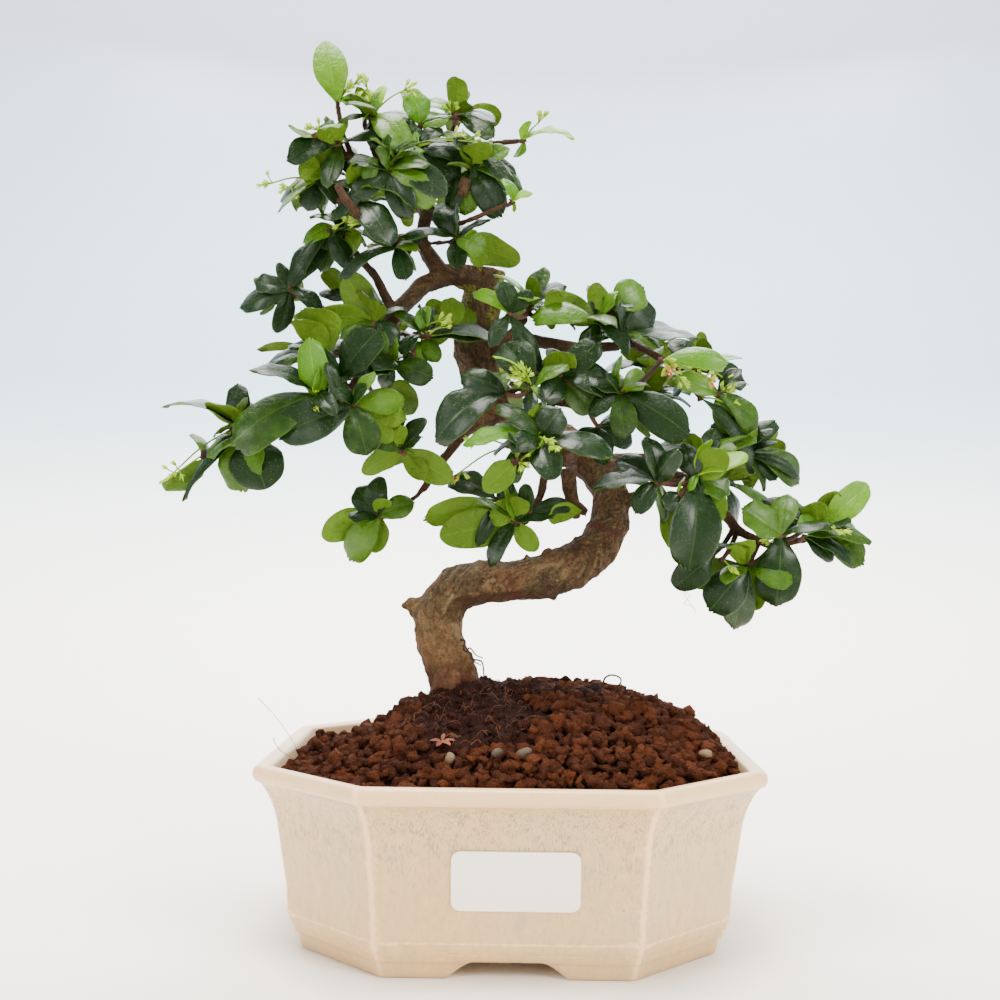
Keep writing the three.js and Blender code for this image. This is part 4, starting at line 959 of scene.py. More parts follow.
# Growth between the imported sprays: the pixel and depth that each group grows
# from, then the tip, half width per length, kind and lightness of each leaf.
# The kind is the side of a grown leaf that is seen, or a young leaf. Stalks of
# buds have only a tip, and their last number is how many flowers are open.
FILLING = [
    ((420, 125, -8), [(411, 87, 0.45, "young", 0.3), (453, 115, 0.22, "top", 0.4),
                      (391, 110, 0.25, "top", 0.6)]),
    ((395, 160, -24), [(445, 196, 0.24, "front", 0.0), (457, 133, 0.16, "top", 0.1),
                       (423, 146, 0.18, "young", 0.2), (370, 138, 0.22, "top", 0.7)]),
    ((366, 187, -28), [(418, 213, 0.2, "top", 0.1), (341, 212, 0.3, "front", 0.0),
                       (372, 156, 0.28, "front", 0.6)]),
    ((350, 178, -8), [(295, 170, 0.2, "top", 0.3), (338, 205, 0.3, "front", 0.2),
                      (349, 140, 0.3, "front", 0.1)]),
    ((330, 232, -8), [(291, 283, 0.17, "front", 0.05), (350, 268, 0.25, "front", 0.0),
                      (368, 236, 0.25, "top", 0.1)]),
    ((478, 155, -14), [(518, 171, 0.2, "top", 0.1), (517, 190, 0.2, "front", 0.2),
                       (490, 207, 0.3, "front", 0.0), (447, 127, 0.3, "top", 0.5)]),
    ((450, 333, 0), [(454, 297, 0.42, "under", 0.6), (428, 303, 0.4, "under", 0.3),
                     (476, 312, 0.3, "under", 0.2)]),
    ((350, 300, 2), [(385, 312, 0.35, "under", 0.4), (330, 268, 0.3, "under", 0.5),
                     (318, 288, 0.25, "front", 0.1)]),
    ((374, 394, -4), [(420, 403, 0.42, "under", 0.2), (404, 436, 0.35, "under", 0.4)]),
    ((247, 434, -25), [(263, 490, 0.5, "front", 0.0), (183, 503, 0.12, "top", 0.1),
                       (207, 458, 0.35, "top", 0.6)]),
    ((497, 500, -8), [(423, 519, 0.17, "under", 1.0), (480, 548, 0.15, "front", 0.1),
                      (513, 484, 0.3, "front", 0.2), (452, 470, 0.3, "front", 0.2)]),
    ((530, 512, -13), [(489, 513, 0.4, "under", 0.7), (572, 503, 0.16, "front", 0.1),
                       (524, 484, 0.25, "front", 0.3)]),
    ((584, 512, -9), [(547, 518, 0.32, "under", 0.5)]),
    ((598, 427, -12), [(635, 441, 0.35, "front", 0.0), (634, 414, 0.3, "top", 0.1),
                       (606, 462, 0.35, "front", 0.0), (572, 448, 0.35, "front", 0.0)]),
    ((612, 312, -20), [(642, 284, 0.48, "front", 0.85)]),
    ((700, 462, -24), [(640, 463, 0.26, "top", 0.5), (752, 431, 0.25, "top", 0.7),
                       (686, 432, 0.3, "under", 0.9), (655, 440, 0.3, "top", 0.0),
                       (716, 428, 0.3, "front", 0.1)]),
    ((738, 455, -10), [(801, 474, 0.12, "top", 0.1), (773, 481, 0.2, "top", 0.4),
                       (762, 437, 0.2, "top", 0.1)]),
    ((712, 556, -20), [(678, 587, 0.36, "front", 0.05)]),
    ((803, 537, -17), [(854, 566, 0.2, "top", 0.05), (872, 535, 0.26, "top", 0.5),
                       (834, 560, 0.3, "front", 0.2)]),
    ((805, 529, -24), [(852, 533, 0, "buds", 0)]),
    ((661, 361, -36), [(674, 376, 0, "buds", 1), (719, 387, 0, "buds", 1),
                       (671, 360, 0, "buds", 0), (691, 390, 0, "buds", 0),
                       (728, 360, 0.2, "young", 0.3)]),
    ((700, 398, -16), [(737, 391, 0, "buds", 0), (742, 409, 0, "buds", 0),
                       (760, 470, 0.14, "top", 0.2)]),
    ((722, 560, -22), [(736, 572, 0, "buds", 0)]),
    ((428, 336, -16), [(453, 320, 0, "buds", 0), (492, 342, 0.12, "top", 0.1)]),
    ((247, 436, -24), [(164, 483, 0, "buds", 0)]),
    ((508, 446, -12), [(462, 440, 0, "buds", 0), (446, 483, 0, "buds", 1)]),
    ((512, 384, -14), [(501, 371, 0, "buds", 0)]),
    ((510, 314, -24), [(542, 379, 0.17, "front", 0.05), (473, 289, 0.15, "young", 0.5),
                       (505, 281, 0.42, "front", 0.25), (531, 290, 0.3, "front", 0.05),
                       (488, 345, 0.2, "front", 0.1)]),
    ((545, 318, -18), [(560, 290, 0.3, "under", 0.5), (577, 322, 0.3, "top", 0.3)]),
]
LEAST_HALF = 3.4
SEEN_SIDE = {"front": (0.0, -1.0, 0.35), "top": (0.0, -0.5, 1.0), "under": (0.0, 0.9, 0.45),
             "young": (0.0, -0.8, 0.6)}


def fill_in(wood):
    """The leaves and buds of FILLING, each group on a twig of its own."""
    shape = Shape()
    for (px, py, y), tips in FILLING:
        rng = random.Random(px)
        core = seen_at(px, py, y)
        touch = nearest_wood(wood, core)
        grow_knob(shape, core, 1.4, rng)
        grow_link(shape, core, touch, 0.08 * np.linalg.norm(core - touch), 0.8, 1.1, 9, rng)
        for tx, ty, slim, kind, tone in tips:
            tip = seen_at(tx, ty, y + rng.uniform(-6, 4))
            if kind == "buds":
                grow_bunch(shape, core, tip, rng, tone)
                continue
            length = np.linalg.norm(tip - core)
            along = (tip - core) / length
            facing = np.array(SEEN_SIDE[kind]) + [rng.uniform(-0.3, 0.3) for _ in range(3)]
            leaf = leaf_at(core, along, squared(facing, along), length,
                           max(slim * length, LEAST_HALF), rng.random() < 0.6)
            leaf["tone"] = tone
            grow_leaf(shape, leaf, YOUNG if kind == "young" else LEAF, rng)
    shape.piece("filling_leaves", ["leaf", *GROWTH_LOOKS, "young"], "leaf")


# Wood

WOOD_VOXEL = 0.0007
SMOOTHING = 8
SMOOTH_SHARES = (0.55, -0.53)   # in and out again, so that no limb shrinks
GRAIN_BLUR = 14
NORMAL_BLUR = 4
WIDTH_BLUR = 12
STREAK_STEP = 0.9
KNOT_SEED = 31
# Seeded knots: least and most width of wood, how many are tried, how far apart, and sizes
KNOTS = ((8, math.inf, 46, 10, 1.2, 2.6), (2.2, 6.5, 260, 5, 0.8, 1.5))
SEEN_KNOT = 2.6
DEEP_KNOT = 1.5                 # size above which a knot has a hollow and a ring
# Reddish marks of old wires: a place on the wood, the slope of the mark and its width
WIRE_SCARS = [((-14.0, 6.0, 205.8), 0.05, 2.2), ((36.0, -6.0, 148.7), 0.35, 2.4),
              ((2.0, -12.0, 123.5), 2.5, 6.5)]
# Stubs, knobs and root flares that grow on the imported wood: the pixels and
# depths of each one's route, and its radii
WOOD_ADDED = [
    ([(421, 606, 3), (409, 604, 2), (402, 607, 2)], (3.6, 2.3, 0.8)),
    ([(566, 470, 0), (568, 490, -4), (574, 508, -6), (577, 519, -7)], (2.5, 2.6, 2.4, 1.7)),
    ([(577, 504, -6), (586, 511, -9)], (1.7, 1.2)),
    ([(452, 592, -5), (453, 612, -4), (456, 635, -3), (466, 657, -2), (477, 680, -1)],
     (1.0, 1.5, 1.6, 1.4, 1.2)),
    ([(446, 668, -2), (440, 688, -5), (430, 703, -9)], (3.6, 3.0, 1.5)),
    ([(455, 674, -4), (452, 694, -8), (447, 708, -13)], (3.8, 3.0, 1.6)),
    ([(468, 676, -2), (479, 692, -5), (493, 705, -8)], (3.6, 2.8, 1.2)),
    ([(575, 546, -5), (577, 538, -6)], (2.3, 1.3)),
    ([(558, 557, -7), (557, 550, -8)], (2.1, 1.2)),
    ([(527, 560, -8), (526, 553, -9)], (2.0, 1.1)),
    ([(625, 503, 3), (634, 501, 1)], (2.5, 1.6)),
    ([(552, 592, -6), (554, 600, -7)], (2.3, 1.3)),
    ([(337, 184, -36), (345, 199, -36), (363, 221, -30), (385, 236, -19), (408, 252, -4)],
     (1.5, 1.7, 1.7, 1.9, 2.2)),
    ([(436, 214, -2), (451, 205, -9), (463, 192, -14), (467, 178, -16)], (1.8, 2.4, 3.2, 2.3)),
]
# Pixels along the pale lifted edge of the bark, up the trunk's right side
PALE_EDGE = [(452, 596), (452, 612), (454, 628), (459, 642), (466, 656), (474, 672)]
# Pixels of the old branch scars that show on the front of the trunk
SEEN_KNOTS = [(572, 558), (603, 567), (466, 583), (441, 618), (500, 590), (470, 395), (447, 690)]


def neighbour_sums(values, edges):
    total = np.zeros(values.shape)
    np.add.at(total, edges[:, 0], values[edges[:, 1]])
    np.add.at(total, edges[:, 1], values[edges[:, 0]])
    return total


def blurred(vectors, edges, degree, times):
    """Directions evened out over the surface."""
    for _ in range(times):
        vectors = vectors + neighbour_sums(vectors, edges) / degree
        vectors /= np.maximum(np.linalg.norm(vectors, axis=1), 1e-9)[:, None]
    return vectors


def rows_of(items, name, width, kind=float):
    """One property of all a mesh's vertices or edges, a row for each."""
    rows = np.empty(len(items) * width, kind)
    items.foreach_get(name, rows)
    return rows.reshape(-1, width)


def reshaped(mesh, points):
    mesh.vertices.foreach_set("co", metres(points).ravel())
    mesh.update()


def surface_tree(points, mesh):
    return BVHTree.FromPolygons(points.tolist(), [list(p.vertices) for p in mesh.polygons])


def distance_along(points, edges, starts):
    """Distance of each point from the soil, over the surface."""
    links = [[] for _ in points]
    lengths = np.linalg.norm(points[edges[:, 0]] - points[edges[:, 1]], axis=1)
    for (a, b), length in zip(edges.tolist(), lengths.tolist()):
        links[a].append((b, length))
        links[b].append((a, length))
    far = [math.inf] * len(points)
    queue = []
    for start in starts:
        far[start] = 0.0
        queue.append((0.0, start))
    while queue:
        here, a = heapq.heappop(queue)
        if here > far[a]:
            continue
        for b, length in links[a]:
            there = here + length
            if there < far[b]:
                far[b] = there
                heapq.heappush(queue, (there, b))
    return np.array([d if d < math.inf else 0.0 for d in far])


def fractal(p, scale):
    return noise.fractal(Vector(p) * scale, 1.0, 2.0, 3)


def knot_places(points, width):
    """Places and sizes of old branch scars, seen and seeded, and of the twigs' nodes."""
    rng = random.Random(KNOT_SEED)
    kept = []
    for px, py in SEEN_KNOTS:
        kept.append((points[np.argmin(distances(points, seen_at(px, py, -14)))], SEEN_KNOT))
    for least, most, count, gap, low, high in KNOTS:
        among = np.flatnonzero((width > least) & (width < most))
        for _ in range(count):
            place = points[among[rng.randrange(len(among))]]
            if all(np.linalg.norm(place - other) > gap for other, _ in kept):
                kept.append((place, rng.uniform(low, high)))
    return kept


def knot_marks(points, width):
    """Swelling, hollow and ring of the knots, at each point."""
    swelling, hollow, ring = np.zeros((3, len(points)))
    for place, reach in knot_places(points, width):
        away = distances(points, place) / reach
        swelling = np.maximum(swelling, np.exp(-away ** 2) * reach)
        hollow = np.maximum(hollow, np.exp(-(away / 0.42) ** 2) * (reach > DEEP_KNOT))
        ring = np.maximum(ring, np.exp(-((away - 1.05) / 0.22) ** 2) * (reach > DEEP_KNOT))
    return swelling, hollow, ring


def even_wood():
    """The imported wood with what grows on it, as one mesh of small even faces."""
    grown = bmesh.new()
    grown.from_mesh(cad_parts["trunk"].data)
    for route, radii in WOOD_ADDED:
        points, faces = tube([seen_at(*place) for place in route], radii, 8)
        corners = [grown.verts.new(point) for point in metres(points)]
        for face in faces:
            grown.faces.new([corners[k] for k in face])
    mesh = bpy.data.meshes.new("wood")
    grown.to_mesh(mesh)
    grown.free()
    made = in_scene("wood", mesh)
    remesh = made.modifiers.new("even", "REMESH")
    remesh.mode = "VOXEL"
    remesh.voxel_size = WOOD_VOXEL
    bpy.context.view_layer.update()
    evaluated = made.evaluated_get(bpy.context.evaluated_depsgraph_get())
    even = bpy.data.meshes.new_from_object(evaluated)
    bpy.data.objects.remove(made)
    return even


def bark_grain(points, edges, degree):
    """Direction in which the bark runs at each point, away from the soil."""
    starts = np.flatnonzero(points[:, 2] < points[:, 2].min() + 1.5)
    along = distance_along(points, edges, starts)
    step = points[edges[:, 1]] - points[edges[:, 0]]
    climb = along[edges[:, 1]] - along[edges[:, 0]]
    pull = step * (climb / np.maximum((step ** 2).sum(1), 1e-9))[:, None]
    grain = np.zeros_like(points)
    np.add.at(grain, edges[:, 0], pull)
    np.add.at(grain, edges[:, 1], pull)
    return blurred(grain, edges, degree, GRAIN_BLUR)


def bark_relief(points, normals, grain, mesh):
    """Width of the wood, streaks along it, lumps and crumples, at each point."""
    tree = surface_tree(points, mesh)
    rows = []
    for point, normal, direction in zip(points, normals, grain):
        hit = tree.ray_cast(Vector(point - normal * 0.3), Vector(-normal), 40)
        width = min(hit[3] + 0.3, 22) if hit[0] else 2.0
        streak = np.mean([noise.noise(Vector((point + direction * STREAK_STEP * t) * 0.85))
                          for t in range(-3, 4)])
        rows.append((width, streak, fractal(point, 0.11), fractal(point, 0.42)))
    return np.ascontiguousarray(np.array(rows).T)


def moss_and_scars(points, width):
    """Above 0 where moss grows, and below it on the marks of old wires."""
    top = (eased(points[:, 2], 222, 240) * eased(points[:, 0], -38, -22)
           * (1 - eased(points[:, 0], 6, 12)))
    crown = (eased(points[:, 2], 262, 276) * (1 - eased(points[:, 2], 290, 304))
             * eased(width, 3, 5))
    marks = np.maximum(top * 1.1, crown * 0.7)
    for place, tilt, reach in WIRE_SCARS:
        offset = points - place
        across = (offset[:, 2] + offset[:, 0] * tilt) / reach
        away = np.linalg.norm(offset, axis=1) / 12
        scar = -np.exp(-across ** 2 - away ** 4)
        marks = np.where(offset[:, 1] < 2, np.minimum(marks, scar), marks)
    return marks


def pale_edge(points):
    """1 along the lifted edge of the bark, and 0 away from it."""
    pale = np.zeros(len(points))
    for place in curve([seen_at(px, py, -12) for px, py in PALE_EDGE], 60):
        middle = points[np.argmin(distances(points, place))]
        pale = np.maximum(pale, np.exp(-(distances(points, middle) / 0.8) ** 2))
    return pale


def make_wood():
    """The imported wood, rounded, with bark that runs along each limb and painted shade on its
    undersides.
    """
    even = even_wood()
    points = rows_of(even.vertices, "co", 3) / MM
    points[:, 0] -= MIDDLE_X / MM
    edges = rows_of(even.edges, "vertices", 2, int)
    degree = neighbour_sums(np.ones((len(points), 1)), edges)
    for _ in range(SMOOTHING):
        for share in SMOOTH_SHARES:
            points = points + share * (neighbour_sums(points, edges) / degree - points)
    grain = bark_grain(points, edges, degree)
    reshaped(even, points)
    smooth = blurred(rows_of(even.vertices, "normal", 3), edges, degree, NORMAL_BLUR)
    width, streak, lumps, crumple = bark_relief(points, smooth, grain, even)
    for _ in range(WIDTH_BLUR):
        width = (width + neighbour_sums(width[:, None], edges)[:, 0]) / (degree[:, 0] + 1)
    streak = streak / max(streak.std(), 1e-6)
    size = np.clip(width / 16, 0.08, 1)
    thin = 1 - np.clip(width / 2.6, 0, 1)
    swelling, hollow, ring = knot_marks(points, width)
    push = size * (0.07 * streak + 0.9 * lumps + 0.35 * crumple) + 0.2 * thin
    push += 0.34 * swelling - 0.5 * hollow - 0.22 * ring
    points = points + smooth * push[:, None]
    reshaped(even, points)
    # Painted shade: the undersides of the limbs, stored with the knot marks, darken the bark's
    # colour
    below = 0.75 * eased(-smooth[:, 2], 0.1, 0.9)
    looks = np.stack([0.5 + 0.16 * streak + pale_edge(points), width,
                      np.maximum(np.maximum(hollow, 0.6 * ring), below)], axis=1)
    even.materials.clear()
    even.materials.append(LOOKS["bark"])
    even.polygons.foreach_set("use_smooth", [True] * len(even.polygons))
    numbers(even, looks, moss_and_scars(points, width))
    even.name = "wood"
    ridden("wood", even, "bark", "trunk")
    return surface_tree(metres(points), even)


# Pot

# Outer wall from under the foot to the lip, as inset from the rim and height
OUTER_WALL = [
    (24, 0), (18.2, 0), (17.4, 0.25), (17, 0.9), (16.5, 2.4), (16.1, 4.2), (15.9, 5.4), (15.5, 5.8),
    (15.1, 5.9), (14.7, 6.4), (14.2, 8.1), (13.9, 8.7), (13.5, 8.9), (13.1, 9.5), (12.5, 11.4),
    (12.15, 12.9), (11.95, 14.6), (11.8, 17.5), (11.6, 23), (10.1, 33), (8.2, 46), (7.3, 49.5),
    (6.0, 53), (4.5, 56), (2.9, 58.4), (1.7, 59.3), (1.0, 59.5), (0.75, 59.9), (0.35, 60.4),
    (0.05, 61.2), (0, 62.2), (0.1, 63.2), (0.45, 64.1), (1.1, 64.75), (2, 65), (3.4, 65),
    (4.6, 64.85), (5.6, 64.4), (6.3, 63.6), (6.8, 62.4), (7.6, 60.5), (9.4, 56.6), (12, 51),
    (14.2, 38), (16.6, 22), (17.5, FLOOR_TOP),
]
HOLLOW = [(32, FOOT_HEIGHT), (31, 3.4), (30.2, 0.4), (29.6, 0)]
CORNER_ROUND = 3.6
CORNER_STEPS = 6
SIDE_PLACES = [0, 5, 9.2, 9.9, 11.2, 13.2, 15.2, 16.4, 18.2, 19.6, 20.2, 24, 29, 34]
DIAGONAL_SHARES = [-0.8, -0.5, -0.2, 0.2, 0.5, 0.8]
LIP_HEIGHT = 65.0
# Creases where the glaze runs thin: the height of each, and how wide it is
CREASES = ((59.5, 1), (12.9, 0.8), (5.8, 1), (8.8, 1))
LIP_LINE = 64.7
LINE_WIDTH = 0.7
# Rings of the outer wall's list: the first above the creases, the first past
# the round lip, and the last before the inside
CREASE_RINGS, EDGE_RINGS, LAST_OUTSIDE = 30, 34, 37


def arch_height(offset):
    """Height of the gap between two feet, at a place along the side."""
    return np.interp(abs(offset), [0, ARCH_TOP, 11.2, 13.2, ARCH_SHOULDER[0], ARCH_BOTTOM - 0.6,
                                   ARCH_BOTTOM],
                     [FOOT_HEIGHT, FOOT_HEIGHT, 5.75, 5.0, ARCH_SHOULDER[1], 0.7, 0])


def pot_ring(inset, z):
    """One ring of the pot: points, closeness to a corner, and place along a long side."""
    half = POT_HALF - inset
    corner = POT_CORNER - inset * math.tan(math.pi / 8)
    corners = [np.array(p, float) for p in (
        (corner, -half), (half, -corner), (half, corner), (corner, half),
        (-corner, half), (-half, corner), (-half, -corner), (-corner, -half))]
    points, near, offsets = [], [], []
    back = CORNER_ROUND * math.tan(math.pi / 8)
    for k, here in enumerate(corners):
        before, after = corners[k - 1], corners[(k + 1) % 8]
        inward, outward = unit(here - before), unit(after - here)
        normal = np.array([inward[1], -inward[0]])
        centre = here - inward * back - normal * CORNER_ROUND
        for i in range(CORNER_STEPS + 1):
            turn = math.pi / 4 * i / CORNER_STEPS
            spin = np.array([normal[0] * math.cos(turn) - normal[1] * math.sin(turn),
                             normal[0] * math.sin(turn) + normal[1] * math.cos(turn)])
            points.append(centre + CORNER_ROUND * spin)
            near.append(1 - abs(i / CORNER_STEPS - 0.5) * 0.9)
            offsets.append(99)
        middle = (here + after) / 2
        span = np.linalg.norm(after - here) / 2 - back
        if k % 2:
            places = [-p for p in SIDE_PLACES[:0:-1]] + SIDE_PLACES
        else:
            places = [share * span for share in DIAGONAL_SHARES]
        for place in places:
            points.append(middle + outward * place)
            near.append(0.45 * math.exp(-((span - abs(place)) / 1.6) ** 2))
            offsets.append(place if k % 2 else 99)
    return np.array(points), np.array(near), np.array(offsets)


def thin_glaze(ring, z):
    """How thin the glaze runs on a whole ring, on a crease or on the lip."""
    if ring < 0:
        return 0.0
    crease = 9
    if ring < CREASE_RINGS:
        crease = min(abs(z - height) * share for height, share in CREASES)
    return max(0.75 * math.exp(-(crease / LINE_WIDTH) ** 2),
               0.8 * math.exp(-((z - LIP_LINE) / LINE_WIDTH) ** 2))


def make_pot():
    """Slip cast octagonal pot on cut feet, its edges softened under the glaze."""
    rings, looks = [], []
    for ring, (inset, z) in enumerate(HOLLOW + OUTER_WALL, -len(HOLLOW)):
        flat, near, offsets = pot_ring(inset, z)
        heights = np.full(len(flat), float(z))
        if z < FOOT_BAND_TOP:
            arch = arch_height(offsets) * (abs(offsets) < ARCH_BOTTOM)
            heights = arch + z * (FOOT_BAND_TOP - arch) / FOOT_BAND_TOP
            if ring < 0:
                heights = np.minimum(np.maximum(z, arch), FOOT_HEIGHT)
        wobble = np.array([0.25 * noise.noise(Vector((x * 0.03, y * 0.03, z * 0.04)))
                           for x, y in flat])
        flat = flat * (1 + wobble[:, None] / POT_HALF * (z > FOOT_BAND_TOP) * (inset > 0.5))
        rings.append(np.column_stack([flat, heights]))
        thin = np.maximum(near * (ring < EDGE_RINGS), thin_glaze(ring, z))
        looks.append(np.column_stack([thin, np.full(len(flat), z / LIP_HEIGHT),
                                      np.full(len(flat), float(ring > LAST_OUTSIDE))]))
    points = np.concatenate([*rings, [(0, 0, FOOT_HEIGHT), (0, 0, FLOOR_TOP)]])
    look = np.concatenate([*looks, [(0, 0, 1), (0, 0, 1)]])
    shape = Shape()
    shape.add(points, capped_faces(len(rings), len(rings[0])), 0, look)
    shape.piece("glazed_pot", ["glaze"], "glaze", "pot")


# Soil

TRUNK_AT = np.array([-21.0, 6.0])
TRUNK_CLEAR = 13.0
GRAIN_PITCH = 3.5
GRAIN_SIZES = (1.6, 1.9, 2.1, 2.3, 2.6, 3.1)
GRAIN_KINDS = 48
FINER_FROM = -8                 # grains further forward than this have more faces
SOIL_DROP = 2.4
SOIL_TOP_FROM = 52
WALL_AT_SOIL = 8.6
PEAT_AT = np.array([-13.0, -30.0])
PEAT_REACH = np.array([27.0, 36.0])
CLODS_AT = (12, -10)
CLODS_REACH = (26, 11)
PEAT_TURNS, PEAT_ROWS = 110, 42
CRUMBS, CLODS, ROOTLETS = 900, 46, 520
ROOT, HAIR = 1, 2               # slots of the peat's materials


def soil_top():
    """The packed soil's upper surface, as height for a place."""
    made = merged("soil")
    tree = BVHTree.FromBMesh(made)
    made.free()

    def height(x, y):
        hit = tree.ray_cast(Vector(metres((x, y, 200))), Vector((0, 0, -1)))
        if not hit[0]:
            return None
        z = hit[0].z / MM
        return z if z > 50 else None
    return height


def wall_distance(x, y):
    flat = POT_HALF - WALL_AT_SOIL
    diagonal = (POT_HALF + POT_CORNER) / math.sqrt(2) - WALL_AT_SOIL
    return min(flat - abs(x), flat - abs(y), diagonal - (abs(x) + abs(y)) / math.sqrt(2))


def from_trunk(x, y):
    return math.hypot(x - TRUNK_AT[0], y - TRUNK_AT[1])


def peat_share(x, y):
    """1 on the old root ball's top in front of the trunk, 0 out on the grains."""
    uneven = 0.3 * noise.noise(Vector((x * 0.06, y * 0.06, 3.1)))
    reach = math.hypot((x - PEAT_AT[0]) / PEAT_REACH[0], (y - PEAT_AT[1]) / PEAT_REACH[1])
    clods = math.hypot((x - CLODS_AT[0]) / CLODS_REACH[0], (y - CLODS_AT[1]) / CLODS_REACH[1])
    return float(max(1 - eased(reach + uneven, 0.82, 1.02), 0.8 - 0.8 * eased(clods, 0.6, 1)))


def make_bed():
    """The soil under the grains: the packed soil with its top let down a little."""
    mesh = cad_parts["soil"].data.copy()
    for vertex in mesh.vertices:
        if vertex.co.z > SOIL_TOP_FROM * MM:
            vertex.co.z -= SOIL_DROP * MM
    mesh.materials.clear()
    mesh.materials.append(LOOKS["peat"])
    numbers(mesh, np.zeros((len(mesh.vertices), 3)), np.full(len(mesh.vertices), 0.3))
    ridden("soil_bed", mesh, "soil", "soil")


def grain_kinds(rng):
    """Uneven grains to choose from, by how finely they are divided."""
    kinds = {1: [], 2: []}
    for seed in range(GRAIN_KINDS):
        level = 1 + seed % 2
        radii = (rng.uniform(0.95, 1.15), rng.uniform(0.8, 1.0), rng.uniform(0.62, 0.85))
        kinds[level].append(lump((0, 0, 0), radii, 100 + seed, level, 0.95, 1.5))
    return kinds


def scatter_grains(height):
    """Fired clay grains over the soil, a second layer lying on the first."""
    rng = random.Random(7)
    kinds = grain_kinds(rng)
    shapes = {"left": Shape(), "right": Shape()}
    steps = int(POT_HALF / GRAIN_PITCH) + 1
    span = range(-steps, steps + 1)
    for layer, i, j in itertools.product((0, 1), span, span):
        x = (i + rng.uniform(-0.42, 0.42) + 0.5 * layer) * GRAIN_PITCH
        y = (j + rng.uniform(-0.42, 0.42) + 0.5 * layer) * GRAIN_PITCH
        size = rng.choice(GRAIN_SIZES) * rng.uniform(0.9, 1.15)
        skip = rng.random()
        if wall_distance(x, y) < size * 0.75:
            continue
        if skip < peat_share(x, y) * 1.02 or (layer and skip < 0.55):
            continue
        z = height(x, y)
        if z is None or from_trunk(x, y) < TRUNK_CLEAR:
            continue
        points, faces = rng.choice(kinds[2 if y < FINER_FROM else 1])
        turn = np.array(Matrix.Rotation(rng.uniform(*ANY_TURN), 3, "Z")
                        @ Matrix.Rotation(rng.uniform(-0.6, 0.6), 3, "X"))
        lift = rng.uniform(-1.9, -0.9) + layer * rng.uniform(1.0, 1.9)
        points = points @ turn.T * size + (x, y, z + lift)
        shapes["left" if x < 0 else "right"].add(points, faces, 0, tone=rng.random())
    for side, shape in shapes.items():
        shape.piece(f"clay_grains_{side}", ["grain"], "soil")


def lay_peat(shape, height):
    """A crumbly sheet of peat from the trunk forward, with an under side."""
    points = []
    for k in range(PEAT_ROWS):
        share = k / (PEAT_ROWS - 1)
        centre = TRUNK_AT + (PEAT_AT - TRUNK_AT) * share
        reach = 6 + (PEAT_REACH * 1.12 - 6) * share
        for i in range(PEAT_TURNS):
            angle = 2 * math.pi * i / PEAT_TURNS
            x, y = centre + reach * (math.cos(angle), math.sin(angle))
            z = height(x, y) or height(x * 0.85, y * 0.85) or 70
            crumb = abs(noise.noise(Vector((x * 0.8, y * 0.8, 5)))) * 1.8
            crumb += noise.noise(Vector((x * 0.2, y * 0.2, 9))) * 1.6
            close = 1 - eased(from_trunk(x, y), 10, 24)
            points.append((x, y, z - 2.6 + peat_share(x, y) * (1.8 + crumb) + 4.6 * close))
    faces = [[a, d, c, b] for a, b, c, d in ring_faces(PEAT_ROWS, PEAT_TURNS)]
    under = len(points)
    points += [(x, y, z - 2.0) for x, y, z in points]
    faces += [[a + under for a in face[::-1]] for face in faces]
    outer = (PEAT_ROWS - 1) * PEAT_TURNS
    for i in range(PEAT_TURNS):
        j = (i + 1) % PEAT_TURNS
        faces.append([i, j, j + under, i + under])
        faces.append([outer + j, outer + i, outer + i + under, outer + j + under])
    shape.add(points, faces, 0, tone=0.4)


def peat_spot(rng):
    """A seeded place on the peat, denser near the trunk."""
    share = rng.random() ** 0.7
    angle = rng.uniform(0, 2 * math.pi)
    centre = TRUNK_AT + (PEAT_AT - TRUNK_AT) * share
    return centre + (8 + (PEAT_REACH - 8) * share) * (math.cos(angle), math.sin(angle))


def scatter_crumbs(shape, height, rng):
    """Fine crumbs on the peat, and larger clods beside it."""
    for _ in range(CRUMBS):
        x, y = peat_spot(rng)
        z = height(x, y)
        if z is not None and rng.random() < peat_share(x, y) + 0.1:
            size = 0.4 + 1.3 * rng.random() ** 2.5
            shape.add(*lump((x, y, z + rng.uniform(-0.8, 0.6)), (size, size * 0.8, size * 0.7),
                            rng.random(), 1, 0.8), 0, tone=rng.random() * 0.9)
    for _ in range(CLODS):
        x = rng.gauss(CLODS_AT[0], CLODS_REACH[0] * 0.5)
        y = rng.gauss(CLODS_AT[1], CLODS_REACH[1] * 0.5)
        z = height(x, y)
        if z is not None and from_trunk(x, y) > TRUNK_CLEAR:
            size = rng.uniform(1.8, 3.4)
            shape.add(*lump((x, y, z + rng.uniform(-1.6, 0.2)), (size * 1.2, size, size * 0.8),
                            rng.random(), 2, 0.7), 0, tone=rng.uniform(0.1, 0.7))


def scatter_rootlets(shape, height, rng):
    """Thin roots and hairs that lie on the peat and the clods."""
    for k in range(ROOTLETS):
        x, y = peat_spot(rng) if k % 4 else (rng.gauss(CLODS_AT[0], 15), rng.gauss(CLODS_AT[1], 8))
        heading, length = rng.uniform(0, 2 * math.pi), 2 + 8 * rng.random() ** 2
        route = []
        for t in (-0.5, -0.2, 0.15, 0.5):
            heading += rng.uniform(-0.25, 0.25)
            px, py = x + math.cos(heading) * length * t, y + math.sin(heading) * length * t
            base = height(px, py)
            if base is None or wall_distance(px, py) < 3:
                break
            route.append((px, py, base + rng.uniform(-0.4, 1.0) + 1.2 * (abs(t) < 0.3)))
        else:
            radius = 0.06 + 0.10 * rng.random() ** 2
            shape.twig(route, radius, radius * 0.5, 10, ROOT if rng.random() < 0.4 else HAIR,
                       rng.random(), 5)


